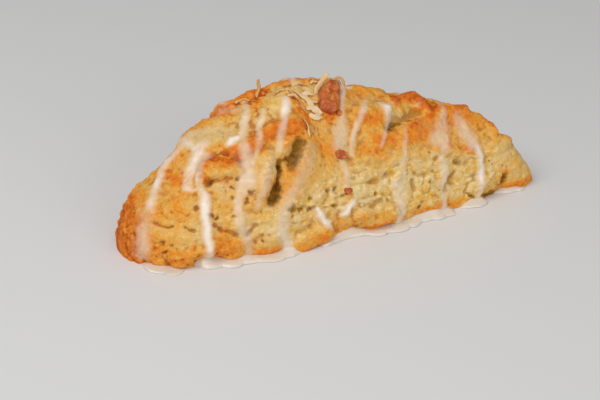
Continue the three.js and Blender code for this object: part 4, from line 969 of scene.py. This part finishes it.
class Value:
    """A shader socket with arithmetic: an expression on values adds the Math nodes it needs."""

    def __init__(self, finish, socket):
        self.finish, self.socket = finish, socket

    def math(self, operation, *others, swap=False, clamp=False):
        """A Math node on this value and the others, in turned order where they are swapped."""
        values = [self, *others][:: -1 if swap else 1]
        settings = dict(operation=operation, use_clamp=clamp)
        return self.finish.node("ShaderNodeMath", settings, dict(enumerate(values)))

    def __add__(self, other):
        return self.math("ADD", other)

    def __radd__(self, other):
        return self.math("ADD", other, swap=True)

    def __sub__(self, other):
        return self.math("SUBTRACT", other)

    def __rsub__(self, other):
        return self.math("SUBTRACT", other, swap=True)

    def __mul__(self, other):
        return self.math("MULTIPLY", other)

    def clamped(self):
        """The value kept from 0 to 1."""
        return (self * 1.0).math("ADD", 0.0, clamp=True)


class Finish:
    """A material that is built up from nodes; patterns are placed in mm on the piece itself."""

    def __init__(self, name, **constants):
        self.material = bpy.data.materials.new(name)
        self.material.use_nodes = True
        self.tree = self.material.node_tree
        self.shader = self.tree.nodes["Principled BSDF"]
        for socket, value in constants.items():
            self.shader.inputs[socket.replace("_", " ")].default_value = value
        here = self.node("ShaderNodeTexCoord", out="Object")
        self.place = self.node("ShaderNodeVectorMath", dict(operation="SCALE"), {0: here, "Scale": 1 / MM})

    def node(self, kind, settings=None, inputs=None, out=0):
        """Adds a node, sets it up, feeds its sockets with values or links, and gives one output."""
        made = self.tree.nodes.new(kind)
        for key, value in (settings or {}).items():
            if key == "stops":
                self.set_stops(made.color_ramp, value)
            else:
                setattr(made, key, value)
        for key, value in (inputs or {}).items():
            if isinstance(value, Value):
                self.tree.links.new(value.socket, made.inputs[key])
            else:
                made.inputs[key].default_value = value
        return Value(self, made.outputs[out])

    @staticmethod
    def set_stops(ramp, stops):
        """Gives a colour ramp its stops of place and colour."""
        while len(ramp.elements) < len(stops):
            ramp.elements.new(1.0)
        for element, (place, colour) in zip(ramp.elements, stops):
            element.position = place
            element.color = (*colour, 1.0)

    def mark(self, name):
        """A value kept per point of the piece."""
        return self.node("ShaderNodeAttribute", dict(attribute_name=name), out="Fac")

    def noise(self, wave, detail, rough, stretch=None):
        """Noise from 0 to 1 of a wavelength in mm, with its place stretched first where that is given."""
        at = self.place
        if stretch:
            at = self.node("ShaderNodeVectorMath", dict(operation="MULTIPLY"), {0: at, 1: stretch})
        inputs = {"Vector": at, "Scale": 1 / wave, "Detail": detail, "Roughness": rough}
        return self.node("ShaderNodeTexNoise", None, inputs, out="Fac")

    def cells(self, wave):
        """Distance from the nearest of scattered points, in cells of a width in mm."""
        inputs = {"Vector": self.place, "Scale": 1 / wave}
        return self.node("ShaderNodeTexVoronoi", None, inputs, out="Distance")

    def band(self, value, low, high):
        """0 below low, 1 above high, smooth between."""
        inputs = {"Value": value, "From Min": low, "From Max": high, "To Min": 0.0, "To Max": 1.0}
        return self.node("ShaderNodeMapRange", dict(interpolation_type="SMOOTHSTEP"), inputs)

    def ramp(self, value, stops):
        """Colour by value, blended between stops."""
        return self.node("ShaderNodeValToRGB", dict(stops=stops), {"Fac": value}, out="Color")

    def mix(self, share, a, b):
        """Colour a, with b's share blended in."""
        a, b = (colour if isinstance(colour, Value) else (*colour, 1.0) for colour in (a, b))
        settings = dict(data_type="RGBA", clamp_factor=True)
        return self.node("ShaderNodeMix", settings, {0: share, 6: a, 7: b}, out=2)

    def bump(self, height, strength, distance_mm):
        """Normals tilted by a height, which counts for a distance in mm at 1."""
        inputs = {"Height": height, "Strength": strength, "Distance": distance_mm * MM}
        return self.node("ShaderNodeBump", None, inputs, out="Normal")

    def feed(self, **sockets):
        """Links values to the shader's sockets and gives the material."""
        for socket, value in sockets.items():
            self.tree.links.new(value.socket, self.shader.inputs[socket.replace("_", " ")])
        return self.material


BAKE_STOPS = [  # tone and colour, from pale crumb to the darkest crust
    (0.0, (0.80, 0.59, 0.27)),
    (0.17, (0.78, 0.50, 0.17)),
    (0.32, (0.82, 0.45, 0.095)),
    (0.46, (0.86, 0.36, 0.042)),
    (0.62, (0.84, 0.24, 0.018)),
    (0.78, (0.72, 0.16, 0.010)),
    (0.92, (0.46, 0.075, 0.006)),
    (1.0, (0.26, 0.035, 0.004)),
]
CLOT_CREAM = (0.88, 0.71, 0.39)
CRUMB_GOLD = (0.80, 0.43, 0.05)
# Painted shade: the colours that sunk places, pores and creases are darkened towards, brown in crumb and
# red-brown on crust.
PIT_SHADE_BROWN = (0.48, 0.24, 0.035)
CREVICE_SHADE_RED = (0.48, 0.10, 0.01)
# Painted shade of hollows and pores: olive brown, deeper between the clots.
HOLLOW_SHADE_OLIVE = (0.34, 0.165, 0.017)
HOLLOW_SHADE_DEEP = (0.20, 0.085, 0.007)
GLAZE_SHEER = (0.66, 0.49, 0.30)
GLAZE_CREAM = (0.87, 0.72, 0.58)
GLAZE_WHITE = (0.95, 0.84, 0.75)
FOOT_SHEER, FOOT_THICK = (0.68, 0.54, 0.42), (0.79, 0.69, 0.59)
FOOT_COVER_LEAST, FOOT_COVER_MOST = 0.75, 0.96
SHRED_STOPS = [(0.0, (0.83, 0.64, 0.40)), (0.45, (0.80, 0.46, 0.15)), (1.0, (0.50, 0.16, 0.02))]
BIT_DEEP, BIT_BRIGHT = (0.50, 0.07, 0.01), (0.74, 0.24, 0.03)
# The last colour is a pale orange-tan for painted highlights.
FRUIT_DEEP, FRUIT_BRIGHT, FRUIT_HIGHLIGHT = (0.42, 0.06, 0.006), (0.74, 0.19, 0.02), (0.78, 0.40, 0.15)


def baked_finish():
    """Crust and crumb from cream through gold and orange to brown by the bake, crumb clotted with
    pores, and glaze soaked in as a pale gloss. Sunk places, pores, creases and hollows are darkened
    as painted shade, and raised grit is made paler as painted light."""
    f = Finish("baked_crust_and_crumb", Specular_IOR_Level=0.1, Subsurface_Weight=0.1,
               Subsurface_Scale=0.0012, Subsurface_Radius=(1.0, 0.5, 0.22), Coat_Roughness=0.24)
    bake, crumb, film, milk = f.mark("bake"), f.mark("crumb"), f.mark("film"), f.mark("milk")
    hollow, above, gritty = f.mark("hollow"), f.mark("above"), f.mark("gritty")
    crusty = 1 - crumb
    mottle = f.noise(2.6, 4, 0.6)
    grain = f.noise(0.9, 4, 0.62)
    speck = f.noise(0.35, 2, 0.5)
    uneven_bake = (mottle - 0.5) * 0.38
    # Raised grit is made paler by the above mark: painted light on the tops of grains.
    tone = bake + uneven_bake + (grain - 0.5) * (0.26 + crusty * 0.22 + gritty * 0.16) - above * gritty * 0.16
    colour = f.ramp(tone.clamped(), BAKE_STOPS)
    clot = f.noise(1.5, 4, 0.62, stretch=(1.0, 1.0, 1.4))
    gold = f.band(f.noise(3.0, 3, 0.55), 0.48, 0.64)
    colour = f.mix(gold * crumb * 0.85, colour, CRUMB_GOLD)
    # Clots that stand out are a little creamier: a touch of painted light.
    cream = f.band(clot + above * 0.05, 0.5, 0.64)
    colour = f.mix((cream * (crumb * 0.62 + 0.1)).clamped(), colour, CLOT_CREAM)
    # Painted shade: sunk places, pores and creases are darkened towards a red-brown on crust and a brown in
    # crumb.
    deep = f.mix(crumb, CREVICE_SHADE_RED, PIT_SHADE_BROWN)
    sunk_shade = f.band(above, -0.1, -1.0) * (0.6 + gritty * 0.4)
    creased = f.band((f.noise(1.5, 3, 0.55) - 0.5).math("ABSOLUTE"), 0.05, 0.0) * crusty * 0.22
    pores = f.band(f.cells(1.3), 0.22, 0.08) * f.band(clot, 0.5, 0.4)
    dark = sunk_shade + pores * 0.3 + creased
    colour = f.mix(dark.clamped(), colour, deep)
    # Painted shade in hollows, pits, pores and undercuts, olive brown.
    hollow_shade = f.band(hollow + (grain - 0.5) * 0.6 + (mottle - 0.5) * 0.3, 0.05, 0.85)
    colour = f.mix(hollow_shade * 0.94, colour, f.mix(f.band(clot, 0.4, 0.6), HOLLOW_SHADE_DEEP, HOLLOW_SHADE_OLIVE))

    cloud = f.noise(1.6, 3, 0.5)
    wet = f.band(film + (cloud - 0.5) * 0.3, 0.1, 0.9)
    thick = f.band(milk + (cloud - 0.5) * 0.4, 0.05, 1.05)
    colour = f.mix((wet * 0.5).clamped(), colour, GLAZE_SHEER)
    colour = f.mix((thick * 0.85).clamped(), colour, GLAZE_CREAM)
    colour = f.mix(f.band(milk + (cloud - 0.5) * 0.3, 0.65, 1.1) * 0.8, colour, GLAZE_WHITE)

    rough = 0.68 - wet * 0.28 + (speck - 0.5) * 0.2
    height = grain * (0.4 + gritty * 0.5) + speck * (0.25 + crusty * 0.2) + mottle * 0.4
    height = height - (pores + creased) * 0.3
    normal = f.bump(height * (1 - wet * 0.25 - thick * 0.45), 1.0, 0.6)
    coat = (wet * 0.35).clamped()
    return f.feed(Base_Color=colour, Roughness=rough.clamped(), Coat_Weight=coat, Normal=normal)


def glaze_finish():
    """Set sugar glaze: milky where thick, sheer at its edges, glossy with a fine uneven skin."""
    f = Finish("foot_glaze", Specular_IOR_Level=0.5, Subsurface_Weight=0.25, Subsurface_Scale=0.0015,
               Subsurface_Radius=(1.0, 0.7, 0.45), Coat_Weight=0.35, Coat_Roughness=0.16)
    veil = f.mark("veil")
    cloud = f.noise(2.6, 3, 0.55)
    fine = f.noise(0.8, 3, 0.5)
    body = f.band(veil + (cloud - 0.5) * 0.4, 0.08, 1.0)
    alpha = FOOT_COVER_LEAST + body * (FOOT_COVER_MOST - FOOT_COVER_LEAST)
    colour = f.mix(f.band(veil * 0.6 + cloud * 0.6, 0.35, 0.9), FOOT_SHEER, FOOT_THICK)
    normal = f.bump(cloud * 0.8 + fine * 0.25, 0.35, 0.5)
    rough = 0.3 + (fine - 0.5) * 0.2
    return f.feed(Base_Color=colour, Alpha=alpha.clamped(), Roughness=rough.clamped(), Normal=normal)


def shred_finish():
    """Pale shreds, toasted at their ends, fibrous along their length; one thin dark strip on the crown is
    browned as painted shade.
    """
    f = Finish("pale_shreds", Subsurface_Weight=0.2, Subsurface_Scale=0.001,
               Subsurface_Radius=(1.0, 0.6, 0.3))
    patch = f.noise(1.1, 3, 0.6)
    ends = f.band(f.mark("edge") + (patch - 0.5) * 1.2, 0.7, 1.2)
    brown = ends * 0.35 + f.mark("toast") + (patch - 0.5) * 0.5
    colour = f.ramp(brown.clamped(), SHRED_STOPS)
    fibre = f.noise(0.35, 3, 0.6)
    rough = 0.5 + (fibre - 0.5) * 0.3
    return f.feed(Base_Color=colour, Roughness=rough.clamped(), Normal=f.bump(fibre, 0.6, 0.25))


def fruit_finish(name, deep, bright):
    """Dried fruit: red-brown, uneven, wrinkled and slightly sticky, with pale patches of painted highlight.
    """
    f = Finish(name, Subsurface_Weight=0.15, Subsurface_Scale=0.0015, Subsurface_Radius=(1.0, 0.3, 0.15),
               Coat_Weight=0.25, Coat_Roughness=0.25)
    patch = f.noise(2.6, 4, 0.6)
    wrinkle = f.noise(0.7, 4, 0.65, stretch=(1.0, 1.0, 1.6))
    colour = f.mix(f.band(patch * 0.6 + wrinkle * 0.4, 0.4, 0.6), deep, bright)
    # Orange-tan patches scattered by noise: painted highlights.
    pale = f.band(f.noise(1.3, 3, 0.6), 0.56, 0.7)
    colour = f.mix(pale * 0.3, colour, FRUIT_HIGHLIGHT)
    rough = 0.42 + (wrinkle - 0.5) * 0.4
    normal = f.bump(wrinkle + patch * 0.6, 1.0, 0.5)
    return f.feed(Base_Color=colour, Roughness=rough.clamped(), Normal=normal)


# ---- putting the scone together ----

crust = Crust()
wedge = wedge_piece(crust, baked_finish())

foot_lofts = []
for n, (side, rows) in enumerate(FOOT_GLAZE):
    foot_lofts.append(foot_loft(crust, side, rows, FOOT_SEED + FOOT_SEED_STEP * n))
foot = joined_lofts("foot_glaze", foot_lofts, glaze_finish())

shred_lofts = [shred_loft(crust, *row, SHRED_SEED + SHRED_SEED_STEP * n) for n, row in enumerate(SHREDS)]
shreds = joined_lofts("shreds", shred_lofts, shred_finish())

bit_lofts = [bit_loft(crust, at, radius, BIT_SEED + n) for n, (at, radius) in enumerate(RED_BITS)]
red_bits = joined_lofts("red_bits", bit_lofts, fruit_finish("red_fruit_bits", BIT_DEEP, BIT_BRIGHT))

dried_fruit = fruit_finish("dried_fruit", FRUIT_DEEP, FRUIT_BRIGHT)
fruit_piece = joined_lofts("dried_fruit", [fruit_loft(crust)], dried_fruit)

for piece in (wedge, foot, shreds, red_bits):
    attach(piece, "root")
    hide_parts("scone")
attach(fruit_piece, "root")
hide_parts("fruit_piece")


# ---- floor, light and camera ----

FLOOR_GREY, FLOOR_ROUGHNESS, FLOOR_HALF = (0.76, 0.76, 0.76), 0.6, 3000
floor_finish = Finish("plain_floor", Base_Color=(*FLOOR_GREY, 1.0), Roughness=FLOOR_ROUGHNESS)
floor_corners = np.array([[-1, -1, 0], [1, -1, 0], [1, 1, 0], [-1, 1, 0]]) * FLOOR_HALF
floor = put_mesh("floor", floor_corners, [[0, 1, 2, 3]], {}, floor_finish.material)

VIEW_AZIMUTH, VIEW_SLOPE = np.radians(-25.5), np.radians(28)
VIEW_DISTANCE = 0.42525
VIEW_AIM = Vector((-0.0055, 0.0004, 0))
LENS_MM, SENSOR_MM = 83.8, 36
LIGHT_AIM = Vector((0, 0, 0.02))
SKY_COLOUR, SKY_STRENGTH = (1.0, 0.99, 0.98, 1.0), 0.3


def direction_to(azimuth, slope):
    """Unit direction from the scone towards a viewer or a light."""
    return Vector((np.sin(azimuth) * np.cos(slope), -np.cos(azimuth) * np.cos(slope), np.sin(slope)))


def face_towards(thing, aim):
    """Turns a camera or light, which looks down its own -Z, to the aim."""
    thing.rotation_euler = (thing.location - aim).to_track_quat("Z", "Y").to_euler()


camera_data = bpy.data.cameras.new("camera")
camera_data.lens, camera_data.sensor_width = LENS_MM, SENSOR_MM
camera = bpy.data.objects.new("camera", camera_data)
camera.location = VIEW_AIM + VIEW_DISTANCE * direction_to(VIEW_AZIMUTH, VIEW_SLOPE)
face_towards(camera, VIEW_AIM)
bpy.context.scene.collection.objects.link(camera)
bpy.context.scene.camera = camera


def soft_light(name, azimuth, slope, distance, width, power):
    """A square soft box that faces the scone."""
    data = bpy.data.lights.new(name, "AREA")
    data.shape, data.size, data.energy = "SQUARE", width, power
    box = bpy.data.objects.new(name, data)
    box.location = distance * direction_to(np.radians(azimuth), np.radians(slope))
    face_towards(box, LIGHT_AIM)
    bpy.context.scene.collection.objects.link(box)


soft_light("overhead_box", -68, 55, 0.9, 0.62, 4.7)
soft_light("front_box", 6, 14, 1.1, 0.8, 4.3)

world = bpy.data.worlds.new("studio")
world.use_nodes = True
sky = world.node_tree.nodes["Background"]
sky.inputs["Color"].default_value = SKY_COLOUR
sky.inputs["Strength"].default_value = SKY_STRENGTH
bpy.context.scene.world = world
bpy.context.scene.view_settings.view_transform = "Standard"
